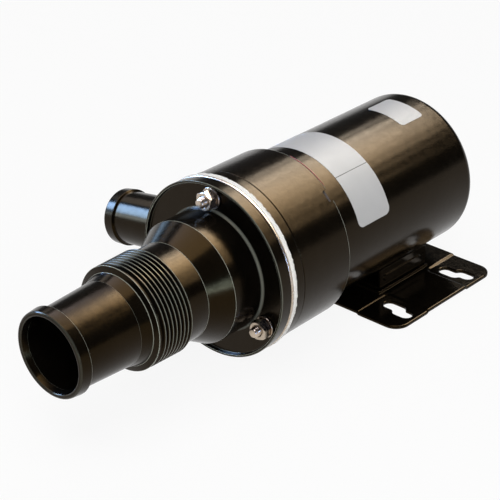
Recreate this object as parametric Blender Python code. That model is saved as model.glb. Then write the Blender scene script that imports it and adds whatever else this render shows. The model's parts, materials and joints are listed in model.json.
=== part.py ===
"""Macerator pump: a direct current motor drives a chopper and an impeller in a moulded pump head.

Units are metres. +X runs along the pump's axis from the inlet barb to the motor's closed end, +Z is up
and the discharge barb points to +Y. The origin is on the underside of the base plate's raised middle,
below the axis and midway between the mounting slots. A station is a distance along X; a turned piece is
drawn as a profile of (station, radius) points, and an angle is counted from +Y towards +Z.
"""
import math

import bmesh
import bpy
from mathutils import Matrix

# Gaps and facet counts; a cutting tool runs past each face by the overcut
SEAT = 0.0003
AIR_GAP = 0.0007
OVERCUT = 0.0005
ROUND = 32
MEDIUM_ROUND = 20
SMALL_ROUND = 12

# Base plate, a pressed sheet with four low corner pads
PLATE_LENGTH = 0.072
PLATE_WIDTH = 0.0988
PLATE_SHEET = 0.0015
PANEL_RAISE = 0.0016
PAD_LENGTH = 0.020
PAD_WIDTH = 0.0234
RAMP_WIDTH = 0.0015
PLATE_CORNER = 0.007
SLOT_WIDTH = 0.0058
SLOT_INNER_INSET_X = 0.0152
SLOT_OUTER_INSET_X = 0.0128
SLOT_INNER_INSET_Y = 0.0194
SLOT_INNER_LENGTH = 0.0110
SLOT_OUTER_INSET_Y = 0.0028
SLOT_OUTER_LENGTH = 0.0096

# Cradle, a channel that carries the motor can
CRADLE_LENGTH = 0.034
CRADLE_HALF_WIDTH = 0.024
CRADLE_SHEET = 0.0013
CRADLE_BEND = 0.002
CRADLE_BEAD_LENGTH = 0.027
CRADLE_BEAD_WIDTH = 0.0032
CRADLE_BEAD_DEPTH = 0.0006
CRADLE_BEAD_HEIGHT = 0.0079
BASE_SCREW_SPACING = 0.020
BASE_SCREW_HEAD_RADIUS = 0.0036
BASE_SCREW_HEAD = 0.0012
BASE_SCREW_GRIP = 0.0004

# Motor can, drawn steel, open in front
CAN_RADIUS = 0.0355
CAN_WALL = 0.0016
CAN_LENGTH = 0.0946
CAN_REAR_CORNER = 0.0045
CAN_MOUTH_CHAMFER = 0.0003

# Pump head, from the motor forward
HEAD_OFFSET = 0.0566
BODY_LENGTH = 0.0299
SKIRT_WALL = 0.0034
BODY_DRAFT = 0.0002
BODY_EDGE = 0.0004
SKIRT_DEPTH = 0.0044
SKIRT_LEDGE_DEPTH = 0.0014
SKIRT_LEDGE_WIDTH = 0.0011
BACK_WALL = 0.0045
CHAMBER_WALL = 0.0114
COVER_THICKNESS = 0.0050
COVER_OVERHANG = 0.0002
COVER_EYE_RADIUS = 0.0130
GASKET_THICKNESS = 0.0020
GASKET_OVERHANG = 0.0011
GASKET_SET_BACK = 0.0017
WEAR_THICKNESS = 0.0012
WEAR_OVERHANG = 0.0005
WEAR_PORT_RADIUS = 0.0026
WEAR_PORT_CIRCLE_RADIUS = 0.0105
WEAR_PORT_COUNT = 8
WEEP_ANGLE = 134.5
WEEP_WIDTH = 0.0055
WEEP_DEPTH = 0.0032

# Discharge barb on the pump body
DISCHARGE_FORWARD = 0.0150
DISCHARGE_TILT = 9.5
DISCHARGE_LENGTH = 0.0473
DISCHARGE_BEAD_LENGTH = 0.0065
DISCHARGE_BEAD_RADIUS = 0.0132
DISCHARGE_TIP_RADIUS = 0.0121
DISCHARGE_BARREL_RADIUS = 0.0122
DISCHARGE_ROOT_RADIUS = 0.0127
DISCHARGE_ROOT_DEPTH = 0.0026
DISCHARGE_BORE_RADIUS = 0.0090
DISCHARGE_BORE_DEPTH = 0.0054
OUTLET_PORT_RADIUS = 0.0060
OUTLET_PORT_FORWARD = 0.0170

# Inlet housing, one moulding from the flange to the hose barb
DISC_THICKNESS = 0.0055
DISC_OVERHANG = 0.0009
DISC_DRAFT = 0.0002
DISC_RIM_WIDTH = 0.0012
DISC_RIM_HEIGHT = 0.0017
DISC_EDGE = 0.0005
CHOPPER_WALL = 0.0038
CHAMBER_LENGTH = 0.0142
CHAMBER_FOOT = 0.0008
CHOPPER_BORE_INSET = 0.0154
CHOPPER_BORE_FRONT = 0.0026
CONE_LENGTH = 0.0099
NECK_RADIUS = 0.0216
NECK_LENGTH = 0.0111
THREAD_LENGTH = 0.0170
THREAD_FRONT_RADIUS = 0.0229
THREAD_REAR_RADIUS = 0.0233
COLLAR_RADIUS = 0.0203
COLLAR_LENGTH = 0.0015
FLARE_RADIUS = 0.0200
FLARE_LENGTH = 0.0055
BARREL_REAR_RADIUS = 0.0186
BARREL_FRONT_RADIUS = 0.0174
BARREL_LENGTH = 0.0264
BEAD_RADIUS = 0.0190
BEAD_LENGTH = 0.0052
BEAD_STEP = 0.0006
LIP_RADIUS = 0.0184
LIP_ROUND = 0.0012
INLET_BORE_RADIUS = 0.0155

# Studs, nuts and washers that clamp the pump head
STUD_COUNT = 3
STUD_FIRST_ANGLE = 90.0
STUD_INSET = 0.0056
STUD_RADIUS = 0.0025
STUD_CHAMFER = 0.0006
STUD_STAND = 0.0074
STUD_BURY = 0.0165
NUT_WIDTH = 0.0080
NUT_HEIGHT = 0.0040
WASHER_RADIUS = 0.0048
WASHER_THICKNESS = 0.0009

# Seals
ORING_SECTION = 0.0007
ORING_SIDES = 6
ORING_FACETS = 20
COVER_ORING_SET_BACK = 0.0014
INLET_ORING_SET_BACK = 0.0021
GROOVE_SLACK = 0.0003
SEAL_RADIUS = 0.0090
SEAL_LIP_RADIUS = 0.0060
SEAL_FRONT_WALL = 0.0010

# Screws between the pump body and the motor, driven from inside the impeller chamber
BODY_SCREW_COUNT = 3
BODY_SCREW_FIRST_ANGLE = 30.0
BODY_SCREW_INSET = 0.0075
SCREW_RADIUS = 0.0020
SCREW_HEAD_RADIUS = 0.0035
SCREW_HEAD = 0.0020
BODY_SCREW_RECESS = 0.0025
BODY_SCREW_REACH = 0.0052

# Motor front plate
FRONT_FLANGE = 0.0022
FRONT_SPIGOT = 0.0040
FRONT_HUB = 0.0053
FRONT_HUB_RADIUS = 0.0142
SLINGER_RECESS_RADIUS = 0.0120
SLINGER_RECESS_DEPTH = 0.0025
SHAFT_WINDOW_RADIUS = 0.0052
BEARING_WEB = 0.0014

# Bearings
BEARING_RADIUS = 0.0110
BEARING_WIDTH = 0.0070
BEARING_OUTER_WALL = 0.0020
BEARING_INNER_WALL = 0.0018
BEARING_SHIELD = 0.0006
BEARING_SHIELD_GAP = 0.0004
WAVE_WASHER = 0.0005
WAVE_WASHER_INNER_RADIUS = 0.0075
CUP_WALL = 0.0016

# Magnets, tie bolts and grommet
MAGNET_THICKNESS = 0.0060
MAGNET_HALF_ANGLE = 60.0
MAGNET_OVERHANG = 0.0020
MAGNET_STEPS = 16
TIE_INSET = 0.0043
TIE_BOSS_RADIUS = 0.0046
TIE_BOSS_LENGTH = 0.0080
TIE_RECESS_DEPTH = 0.0032
TIE_THREAD = 0.0065
TIE_HEAD_RADIUS = 0.0032
TIE_HEAD = 0.0024
GROMMET_ANGLE = 235.0
GROMMET_FROM_CUP = 0.0065
GROMMET_FLANGE_RADIUS = 0.0052
GROMMET_NECK_RADIUS = 0.0035
GROMMET_BORE_RADIUS = 0.0018
GROMMET_FLANGE = 0.0020

# Rotor
SHAFT_RADIUS = 0.0040
SHAFT_CORE_RADIUS = 0.0050
SHAFT_THREAD_RADIUS = 0.0030
SHAFT_FLAT_HALF = 0.0029
SHAFT_THREAD_STAND = 0.0019
CORE_SET_BACK = 0.0162
CORE_END_ROOM = 0.0506
CORE_SLOTS = 12
SLOT_FLOOR_SHARE = 0.354
SLOT_LIP_DEPTH = 0.0021
SLOT_SHOULDER_DEPTH = 0.0034
SLOT_HALF_ANGLE = 8.0
SLOT_MOUTH_HALF_ANGLE = 3.0
WINDING_INNER_SHARE = 0.26
WINDING_INSET = 0.0029
WINDING_LENGTH = 0.0058
COMMUTATOR_SHARE = 0.354
COMMUTATOR_LENGTH = 0.0130
COMMUTATOR_BARS = 12
COMMUTATOR_GROOVE = 0.0006
COMMUTATOR_AFTER_CORE = 0.0070
SLINGER_RADIUS = 0.0080
SLINGER_THICKNESS = 0.0015

# Impeller, its key, and the chopper in front of it
IMPELLER_TIP_GAP = 0.0015
IMPELLER_HUB_RADIUS = 0.0090
IMPELLER_CLEARANCE = 0.0006
IMPELLER_DISC = 0.0020
IMPELLER_VANES = 6
VANE_THICKNESS = 0.0022
VANE_SWEEP = 38.0
VANE_STEPS = 6
KEY_WIDTH = 0.0024
KEY_LENGTH = 0.0080
KEY_LOW = 0.0031
KEY_HIGH = 0.0056
CUTTER_TIP_GAP = 0.0015
CUTTER_HUB_RADIUS = 0.0085
CUTTER_THICKNESS = 0.0032
CUTTER_CLEARANCE = 0.0004
CUTTER_BLADES = 4
CUTTER_BLADE_ROOT = 26.0
CUTTER_BLADE_TIP = 12.0
CUTTER_BLADE_LEAN = 14.0
CUTTER_NUT_WIDTH = 0.0100
CUTTER_NUT_HEIGHT = 0.0048

# Brush gear
BRUSH_ALONG = 0.0070
BRUSH_ACROSS = 0.0060
BRUSH_SHARE = 0.582
BRUSH_AFTER_CORE = 0.0100
HOLDER_WALL = 0.0013
HOLDER_AFTER_COMMUTATOR = 0.0025
HOLDER_INSET = 0.0029
HOLDER_END_WALL = 0.0015
BRUSH_PLATE_THICKNESS = 0.0020
BRUSH_PLATE_BORE = 0.0134
SPRING_RADIUS = 0.0022
SPRING_WIRE_RADIUS = 0.0003
SPRING_TURNS = 4
SPRING_POINTS_PER_TURN = 8

# Radii and reaches that follow from the can
CAN_BORE = CAN_RADIUS - CAN_WALL
BODY_RADIUS = CAN_RADIUS + SKIRT_WALL
COVER_RADIUS = BODY_RADIUS + COVER_OVERHANG
WEAR_RADIUS = BODY_RADIUS + WEAR_OVERHANG
GASKET_RADIUS = BODY_RADIUS + GASKET_OVERHANG
DISC_RADIUS = BODY_RADIUS + DISC_OVERHANG
STUD_CIRCLE_RADIUS = BODY_RADIUS - STUD_INSET
CHAMBER_RADIUS = BODY_RADIUS - CHAMBER_WALL
COVER_ORING_RADIUS = CHAMBER_RADIUS + COVER_ORING_SET_BACK
GASKET_INNER_RADIUS = CHAMBER_RADIUS + GASKET_SET_BACK
IMPELLER_RADIUS = CHAMBER_RADIUS - IMPELLER_TIP_GAP
BODY_SCREW_CIRCLE_RADIUS = CHAMBER_RADIUS - BODY_SCREW_INSET
CHOPPER_BORE_RADIUS = BODY_RADIUS - CHOPPER_BORE_INSET
CHOPPER_OUTER_RADIUS = CHOPPER_BORE_RADIUS + CHOPPER_WALL
INLET_ORING_RADIUS = CHOPPER_BORE_RADIUS + INLET_ORING_SET_BACK
CUTTER_RADIUS = CHOPPER_BORE_RADIUS - CUTTER_TIP_GAP
TIE_CIRCLE_RADIUS = CAN_BORE - TIE_INSET
MAGNET_OUTER_RADIUS = CAN_BORE - SEAT
MAGNET_INNER_RADIUS = MAGNET_OUTER_RADIUS - MAGNET_THICKNESS
CORE_RADIUS = MAGNET_INNER_RADIUS - AIR_GAP
SLOT_LIP_RADIUS = CORE_RADIUS - SLOT_LIP_DEPTH
SLOT_SHOULDER_RADIUS = CORE_RADIUS - SLOT_SHOULDER_DEPTH
SLOT_FLOOR_RADIUS = SLOT_FLOOR_SHARE * CAN_BORE
WINDING_OUTER_RADIUS = CORE_RADIUS - WINDING_INSET
WINDING_INNER_RADIUS = WINDING_INNER_SHARE * CAN_BORE
COMMUTATOR_RADIUS = COMMUTATOR_SHARE * CAN_BORE
HOLDER_START = COMMUTATOR_RADIUS + HOLDER_AFTER_COMMUTATOR
HOLDER_END = CAN_BORE - HOLDER_INSET
BRUSH_START = COMMUTATOR_RADIUS + SEAT
BRUSH_LENGTH = BRUSH_SHARE * (HOLDER_END - HOLDER_END_WALL - BRUSH_START)
DISCHARGE_REACH = BODY_RADIUS + DISCHARGE_LENGTH
DISCHARGE_ROOT = BODY_RADIUS - DISCHARGE_ROOT_DEPTH
DISCHARGE_BORE_FLOOR = BODY_RADIUS - DISCHARGE_BORE_DEPTH

# Stations along the axis, worked out from the lengths above
AXIS_HEIGHT = PLATE_SHEET + SEAT + CRADLE_SHEET + SEAT + CAN_RADIUS
BODY_REAR = -HEAD_OFFSET
BODY_FRONT = BODY_REAR - BODY_LENGTH
WALL_REAR = BODY_REAR - SKIRT_DEPTH
WALL_FRONT = WALL_REAR - BACK_WALL
COVER_REAR = BODY_FRONT - SEAT
COVER_FRONT = COVER_REAR - COVER_THICKNESS
GASKET_REAR = COVER_FRONT - SEAT
GASKET_FRONT = GASKET_REAR - GASKET_THICKNESS
WEAR_REAR = GASKET_FRONT - SEAT
WEAR_FRONT = WEAR_REAR - WEAR_THICKNESS
DISC_REAR = WEAR_FRONT - SEAT
DISC_FRONT = DISC_REAR - DISC_THICKNESS
DISC_FACE = DISC_FRONT + DISC_RIM_HEIGHT
CONE_REAR = DISC_FRONT - CHAMBER_LENGTH
NECK_REAR = CONE_REAR - CONE_LENGTH
THREAD_REAR = NECK_REAR - NECK_LENGTH
THREAD_FRONT = THREAD_REAR - THREAD_LENGTH
COLLAR_FRONT = THREAD_FRONT - COLLAR_LENGTH
BARREL_REAR = COLLAR_FRONT - FLARE_LENGTH
BEAD_TOP = BARREL_REAR - BARREL_LENGTH
LIP_FRONT = BEAD_TOP - BEAD_LENGTH
DISCHARGE_STATION = BODY_REAR - DISCHARGE_FORWARD
OUTLET_STATION = BODY_REAR - OUTLET_PORT_FORWARD
PLATE_FRONT = WALL_REAR + SEAT
FLANGE_REAR = PLATE_FRONT + FRONT_FLANGE
SPIGOT_REAR = FLANGE_REAR + FRONT_SPIGOT
HUB_REAR = SPIGOT_REAR + FRONT_HUB
RECESS_FLOOR = PLATE_FRONT + SLINGER_RECESS_DEPTH
POCKET_FLOOR = RECESS_FLOOR + BEARING_WEB
CAN_FRONT = FLANGE_REAR + SEAT
CAN_REAR = CAN_FRONT + CAN_LENGTH
CAN_FLOOR = CAN_REAR - CAN_WALL
CORE_FRONT = CAN_FRONT + CORE_SET_BACK
CORE_REAR = CORE_FRONT + CAN_LENGTH - CORE_END_ROOM
FRONT_BEARING = POCKET_FLOOR + SEAT
WAVE_WASHER_REAR = CAN_FLOOR - SEAT
REAR_BEARING = WAVE_WASHER_REAR - WAVE_WASHER - SEAT - BEARING_WIDTH
COMMUTATOR_FRONT = CORE_REAR + COMMUTATOR_AFTER_CORE
BRUSH_FRONT = CORE_REAR + BRUSH_AFTER_CORE
TIE_BOSS_FRONT = CAN_FLOOR - TIE_BOSS_LENGTH
BRUSH_PLATE_REAR = TIE_BOSS_FRONT - SEAT
BRUSH_PLATE_FRONT = BRUSH_PLATE_REAR - BRUSH_PLATE_THICKNESS
CUTTER_REAR = WEAR_FRONT - CUTTER_CLEARANCE
CUTTER_FRONT = CUTTER_REAR - CUTTER_THICKNESS
CUTTER_NUT_REAR = CUTTER_FRONT - SEAT
CUTTER_NUT_FRONT = CUTTER_NUT_REAR - CUTTER_NUT_HEIGHT
SHAFT_FRONT = CUTTER_NUT_FRONT - SHAFT_THREAD_STAND
IMPELLER_FRONT = COVER_REAR + IMPELLER_CLEARANCE
IMPELLER_REAR = WALL_FRONT - IMPELLER_CLEARANCE
STUD_TIP = DISC_FACE - STUD_STAND
STUD_END = BODY_FRONT + STUD_BURY

# Colour, roughness and metallic value of each finish
FINISHES = {
    "black_moulding": ((0.035, 0.030, 0.027), 0.28, 0.0),
    "black_enamel": ((0.020, 0.018, 0.017), 0.22, 0.0),
    "stainless": ((0.74, 0.70, 0.66), 0.25, 1.0),
    "steel": ((0.45, 0.45, 0.46), 0.35, 1.0),
    "aluminium": ((0.66, 0.67, 0.68), 0.40, 1.0),
    "white_paper": ((0.86, 0.84, 0.80), 0.85, 0.0),
    "black_rubber": ((0.03, 0.03, 0.03), 0.75, 0.0),
    "red_rubber": ((0.35, 0.10, 0.07), 0.70, 0.0),
    "ferrite": ((0.10, 0.10, 0.11), 0.60, 0.0),
    "copper": ((0.72, 0.38, 0.22), 0.32, 1.0),
    "carbon": ((0.06, 0.06, 0.065), 0.55, 0.2),
    "brass": ((0.75, 0.58, 0.27), 0.30, 1.0),
    "board": ((0.36, 0.22, 0.10), 0.60, 0.0),
    "green_rubber": ((0.07, 0.16, 0.12), 0.60, 0.0),
}


def clear_scene():
    for item in list(bpy.data.objects):
        bpy.data.objects.remove(item, do_unlink=True)


def add_empty(name, location, parent=None):
    empty = bpy.data.objects.new(name, None)
    bpy.context.collection.objects.link(empty)
    empty.location = location
    empty.parent = parent
    return empty


def paint(item, finish):
    """Gives the object its own Principled material."""
    colour, roughness, metallic = FINISHES[finish]
    material = bpy.data.materials.new(item.name)
    material.use_nodes = True
    shader = material.node_tree.nodes["Principled BSDF"]
    shader.inputs["Base Color"].default_value = (*colour, 1.0)
    shader.inputs["Roughness"].default_value = roughness
    shader.inputs["Metallic"].default_value = metallic
    item.data.materials.append(material)


def add_object(name, bm, finish, parent):
    """Makes an object of a closed bmesh. Without a finish it is a tool for a Boolean."""
    bmesh.ops.recalc_face_normals(bm, faces=bm.faces)
    mesh = bpy.data.meshes.new(name)
    bm.to_mesh(mesh)
    bm.free()
    mesh.shade_smooth()
    mesh.set_sharp_from_angle(angle=math.radians(32))
    item = bpy.data.objects.new(name, mesh)
    bpy.context.collection.objects.link(item)
    item.parent = parent
    if finish is None:
        item.hide_render = True
        item.display_type = "WIRE"
    else:
        paint(item, finish)
    return item


def combine(target, tool, operation="DIFFERENCE"):
    """Cuts the tool out of the target, or joins it on, by a Boolean modifier."""
    change = target.modifiers.new(tool.name, "BOOLEAN")
    change.operation = operation
    change.object = tool


def revolve(name, profile, finish, parent, segments=ROUND, solid=False):
    """Turns a profile of (station, radius) points about X. A solid one starts and ends on the axis."""
    bm = bmesh.new()
    points = [bm.verts.new((station, 0.0, radius)) for station, radius in profile]
    edges = [bm.edges.new(pair) for pair in zip(points, points[1:])]
    if not solid:
        edges.append(bm.edges.new((points[-1], points[0])))
    bmesh.ops.spin(bm, geom=points + edges, cent=(0, 0, 0), axis=(1, 0, 0), angle=math.tau,
                   steps=segments, use_merge=True)
    bmesh.ops.remove_doubles(bm, verts=bm.verts, dist=1e-6)
    return add_object(name, bm, finish, parent)


def prism(name, outline, start, end, finish, parent, along="X"):
    """Extrudes an outline: (y, z) points along X, (x, y) points along Z or (z, x) points along Y."""
    place = {
        "X": lambda a, b: (start, a, b),
        "Y": lambda a, b: (b, start, a),
        "Z": lambda a, b: (a, b, start),
    }[along]
    travel = {"X": (end - start, 0, 0), "Y": (0, end - start, 0), "Z": (0, 0, end - start)}[along]
    bm = bmesh.new()
    face = bm.faces.new([bm.verts.new(place(a, b)) for a, b in outline])
    grown = bmesh.ops.extrude_face_region(bm, geom=[face])
    moved = [item for item in grown["geom"] if isinstance(item, bmesh.types.BMVert)]
    bmesh.ops.translate(bm, verts=moved, vec=travel)
    return add_object(name, bm, finish, parent)


def polar(radius, degrees):
    return (radius * math.cos(math.radians(degrees)), radius * math.sin(math.radians(degrees)))


def arc(centre, radius, start, end, steps):
    """Points of a round stretch, from one angle to another in degrees."""
    turns = [start + (end - start) * index / steps for index in range(steps + 1)]
    return [(centre[0] + polar(radius, turn)[0], centre[1] + polar(radius, turn)[1]) for turn in turns]


def circle(radius, centre=(0.0, 0.0), segments=SMALL_ROUND):
    """A round outline, turned a quarter of a facet so that its corners miss those of turned pieces."""
    turn = 90 / segments
    return arc(centre, radius, turn, 360 + turn, segments)[:-1]


def hexagon(width, centre=(0.0, 0.0)):
    return arc(centre, width / math.sqrt(3), 30, 390, 6)[:-1]


def rectangle(low, high):
    return [(low[0], low[1]), (high[0], low[1]), (high[0], high[1]), (low[0], high[1])]


def stadium(start, end, radius, steps=6):
    """A slot's outline about the line from start to end."""
    heading = math.degrees(math.atan2(end[1] - start[1], end[0] - start[0]))
    return (arc(end, radius, heading - 90, heading + 90, steps)
            + arc(start, radius, heading + 90, heading + 270, steps))


def rounded_rectangle(length, width, radius, steps=6):
    x = length / 2 - radius
    y = width / 2 - radius
    return (arc((x, y), radius, 0, 90, steps) + arc((-x, y), radius, 90, 180, steps)
            + arc((-x, -y), radius, 180, 270, steps) + arc((x, -y), radius, 270, 360, steps))


def drill(target, radius, centre, start, end, parent, segments=SMALL_ROUND):
    """Cuts a round hole along X through the target."""
    tool = prism(target.name + "_drill", circle(radius, centre, segments), start, end, None, parent)
    combine(target, tool)


def ring(name, inner, outer, start, end, finish, parent, segments=ROUND):
    profile = [(start, inner), (start, outer), (end, outer), (end, inner)]
    return revolve(name, profile, finish, parent, segments)


def stud_centres():
    step = 360 / STUD_COUNT
    return [polar(STUD_CIRCLE_RADIUS, STUD_FIRST_ANGLE + step * index) for index in range(STUD_COUNT)]


def body_screw_centres():
    step = 360 / BODY_SCREW_COUNT
    return [polar(BODY_SCREW_CIRCLE_RADIUS, BODY_SCREW_FIRST_ANGLE + step * index)
            for index in range(BODY_SCREW_COUNT)]


def tie_centres():
    return [polar(TIE_CIRCLE_RADIUS, 90), polar(TIE_CIRCLE_RADIUS, 270)]


def grommet_centre():
    cup_radius = BEARING_RADIUS + SEAT + CUP_WALL
    return polar(cup_radius + GROMMET_FROM_CUP, GROMMET_ANGLE)


def build_inlet_housing(axis):
    """Hose barb, threaded stretch, cone, chopper chamber and flange disc as one moulding."""
    outside = arc((LIP_FRONT + LIP_ROUND, LIP_RADIUS - LIP_ROUND), LIP_ROUND, 180, 90, 2)
    outside += [
        (BEAD_TOP, BEAD_RADIUS),
        (BEAD_TOP + BEAD_STEP, BARREL_FRONT_RADIUS),
        (BARREL_REAR, BARREL_REAR_RADIUS),
        (COLLAR_FRONT, FLARE_RADIUS),
        (COLLAR_FRONT, COLLAR_RADIUS),
        (THREAD_FRONT, THREAD_FRONT_RADIUS),
        (THREAD_REAR, THREAD_REAR_RADIUS),
        (THREAD_REAR, NECK_RADIUS),
        (NECK_REAR, NECK_RADIUS),
        (CONE_REAR, CHOPPER_OUTER_RADIUS),
    ]
    foot = (DISC_FACE - CHAMBER_FOOT, CHOPPER_OUTER_RADIUS + CHAMBER_FOOT)
    outside += arc(foot, CHAMBER_FOOT, 270, 360, 2)
    rim_inner = DISC_RADIUS - DISC_RIM_WIDTH
    outside += [
        (DISC_FACE, rim_inner - DISC_EDGE / 2),
        (DISC_FRONT, rim_inner + DISC_EDGE / 2),
    ]
    outside += arc((DISC_FRONT + DISC_EDGE, DISC_RADIUS - DISC_EDGE), DISC_EDGE, 180, 90, 2)
    outside += [(DISC_REAR, DISC_RADIUS - DISC_DRAFT)]
    groove = ORING_SECTION + GROOVE_SLACK
    inside = [
        (DISC_REAR, INLET_ORING_RADIUS + groove),
        (DISC_REAR - 2 * ORING_SECTION, INLET_ORING_RADIUS + groove),
        (DISC_REAR - 2 * ORING_SECTION, INLET_ORING_RADIUS - groove),
        (DISC_REAR, INLET_ORING_RADIUS - groove),
        (DISC_REAR, CHOPPER_BORE_RADIUS),
        (CONE_REAR + CHOPPER_BORE_FRONT, CHOPPER_BORE_RADIUS),
        (NECK_REAR + CHOPPER_BORE_FRONT, INLET_BORE_RADIUS),
    ]
    inside += arc((LIP_FRONT + LIP_ROUND, INLET_BORE_RADIUS + LIP_ROUND), LIP_ROUND, 270, 180, 2)
    housing = revolve("inlet_housing", outside + inside, "black_moulding", axis)
    for centre in stud_centres():
        drill(housing, STUD_RADIUS + SEAT, centre, DISC_FRONT - OVERCUT, DISC_REAR + OVERCUT, axis)
    return housing


def build_oring(name, radius, station, axis):
    profile = circle(ORING_SECTION, (station, radius), ORING_SIDES)
    return revolve(name, profile, "black_rubber", axis, ORING_FACETS)


def build_wear_plate(axis):
    plate = ring("wear_plate", SHAFT_WINDOW_RADIUS, WEAR_RADIUS, WEAR_FRONT, WEAR_REAR, "stainless", axis)
    low = WEAR_FRONT - OVERCUT
    high = WEAR_REAR + OVERCUT
    for centre in stud_centres():
        drill(plate, STUD_RADIUS + SEAT, centre, low, high, axis)
    for index in range(WEAR_PORT_COUNT):
        centre = polar(WEAR_PORT_CIRCLE_RADIUS, 360 * index / WEAR_PORT_COUNT)
        drill(plate, WEAR_PORT_RADIUS, centre, low, high, axis)
    return plate


def build_cover_gasket(axis):
    gasket = ring("cover_gasket", GASKET_INNER_RADIUS, GASKET_RADIUS, GASKET_FRONT, GASKET_REAR,
                  "white_paper", axis)
    for centre in stud_centres():
        drill(gasket, STUD_RADIUS + SEAT, centre, GASKET_FRONT - OVERCUT, GASKET_REAR + OVERCUT, axis)
    return gasket


def build_impeller_cover(axis):
    cover = ring("impeller_cover", COVER_EYE_RADIUS, COVER_RADIUS, COVER_FRONT, COVER_REAR, "black_moulding",
                 axis)
    for centre in stud_centres():
        drill(cover, STUD_RADIUS + SEAT, centre, COVER_FRONT - OVERCUT, COVER_REAR + OVERCUT, axis)
    return cover


def discharge_matrix():
    """Turns a piece drawn along +X so that it points out along the discharge."""
    tilt = Matrix.Rotation(math.radians(-DISCHARGE_TILT), 4, "X")
    return tilt @ Matrix.Rotation(math.radians(90), 4, "Z")


def discharge_barb(axis):
    """The barb's outer form, joined to the pump body."""
    bead = DISCHARGE_REACH - DISCHARGE_BEAD_LENGTH
    profile = [
        (DISCHARGE_ROOT, 0.0),
        (DISCHARGE_ROOT, DISCHARGE_ROOT_RADIUS),
        (BODY_RADIUS, DISCHARGE_ROOT_RADIUS),
        (bead - BEAD_STEP, DISCHARGE_BARREL_RADIUS),
        (bead, DISCHARGE_BEAD_RADIUS),
    ]
    profile += arc((DISCHARGE_REACH - LIP_ROUND, DISCHARGE_TIP_RADIUS - LIP_ROUND), LIP_ROUND, 90, 0, 2)
    profile += [(DISCHARGE_REACH, 0.0)]
    barb = revolve("discharge_barb", profile, None, axis, MEDIUM_ROUND, solid=True)
    barb.matrix_local = Matrix.Translation((DISCHARGE_STATION, 0, 0)) @ discharge_matrix()
    return barb


def discharge_tool(name, station, radius, start, end, axis, segments):
    tool = prism(name, circle(radius, segments=segments), start, end, None, axis)
    tool.matrix_local = Matrix.Translation((station, 0, 0)) @ discharge_matrix()
    return tool


def build_pump_body(axis):
    """Impeller chamber in front, seal wall, and a skirt that takes the motor."""
    skirt_bore = CAN_RADIUS + SEAT
    seal_bore = SEAL_RADIUS + SEAT
    groove = ORING_SECTION + GROOVE_SLACK
    profile = [
        (BODY_FRONT, COVER_ORING_RADIUS + groove),
        (BODY_FRONT, BODY_RADIUS - BODY_EDGE),
        (BODY_FRONT + BODY_EDGE, BODY_RADIUS),
        (BODY_REAR - BODY_EDGE, BODY_RADIUS - BODY_DRAFT),
        (BODY_REAR, BODY_RADIUS - BODY_DRAFT - BODY_EDGE),
        (BODY_REAR, skirt_bore + SKIRT_LEDGE_WIDTH),
        (BODY_REAR - SKIRT_LEDGE_DEPTH, skirt_bore + SKIRT_LEDGE_WIDTH),
        (BODY_REAR - SKIRT_LEDGE_DEPTH, skirt_bore),
        (WALL_REAR, skirt_bore),
        (WALL_REAR, seal_bore),
        (WALL_FRONT + SEAL_FRONT_WALL, seal_bore),
        (WALL_FRONT + SEAL_FRONT_WALL, SEAL_LIP_RADIUS),
        (WALL_FRONT, SEAL_LIP_RADIUS),
        (WALL_FRONT, CHAMBER_RADIUS),
        (BODY_FRONT, CHAMBER_RADIUS),
        (BODY_FRONT, COVER_ORING_RADIUS - groove),
        (BODY_FRONT + 2 * ORING_SECTION, COVER_ORING_RADIUS - groove),
        (BODY_FRONT + 2 * ORING_SECTION, COVER_ORING_RADIUS + groove),
    ]
    body = revolve("pump_body", profile, "black_moulding", axis)
    combine(body, discharge_barb(axis), "UNION")
    bore = discharge_tool("discharge_bore", DISCHARGE_STATION, DISCHARGE_BORE_RADIUS, DISCHARGE_BORE_FLOOR,
                          DISCHARGE_REACH + OVERCUT, axis, MEDIUM_ROUND)
    combine(body, bore)
    port_start = CHAMBER_RADIUS - OUTLET_PORT_RADIUS
    port = discharge_tool("outlet_port", OUTLET_STATION, OUTLET_PORT_RADIUS, port_start,
                          DISCHARGE_BORE_FLOOR + OVERCUT, axis, SMALL_ROUND)
    combine(body, port)
    for centre in stud_centres():
        drill(body, STUD_RADIUS + SEAT, centre, BODY_FRONT - OVERCUT, STUD_END + SEAT, axis)
    for centre in body_screw_centres():
        drill(body, SCREW_RADIUS + SEAT, centre, WALL_FRONT - OVERCUT, WALL_REAR + OVERCUT, axis)
        recess_floor = WALL_FRONT + BODY_SCREW_RECESS
        drill(body, SCREW_HEAD_RADIUS + SEAT, centre, WALL_FRONT - OVERCUT, recess_floor, axis)
    half = WEEP_WIDTH / 2
    weep_outline = rectangle((CAN_RADIUS - OVERCUT, -half), (BODY_RADIUS + OVERCUT, half))
    weep = prism("weep_slot", weep_outline, BODY_REAR - WEEP_DEPTH, BODY_REAR + OVERCUT, None, axis)
    weep.rotation_euler = (math.radians(WEEP_ANGLE), 0, 0)
    combine(body, weep)
    return body


def build_shaft_seal(axis):
    """Spring-loaded lip seal, drawn as its outer case and a thin lip that reaches the shaft."""
    front = WALL_FRONT + SEAL_FRONT_WALL + SEAT
    rear = WALL_REAR - SEAT
    middle = (front + rear) / 2
    lip = SHAFT_RADIUS + SEAT
    profile = [
        (front, SEAL_LIP_RADIUS),
        (front, SEAL_RADIUS),
        (rear, SEAL_RADIUS),
        (rear, SEAL_LIP_RADIUS + SEAT),
        (middle + SEAT, SEAL_LIP_RADIUS + SEAT),
        (middle, lip),
        (middle - SEAT, lip),
    ]
    return revolve("shaft_seal", profile, "black_rubber", axis, MEDIUM_ROUND)


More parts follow.
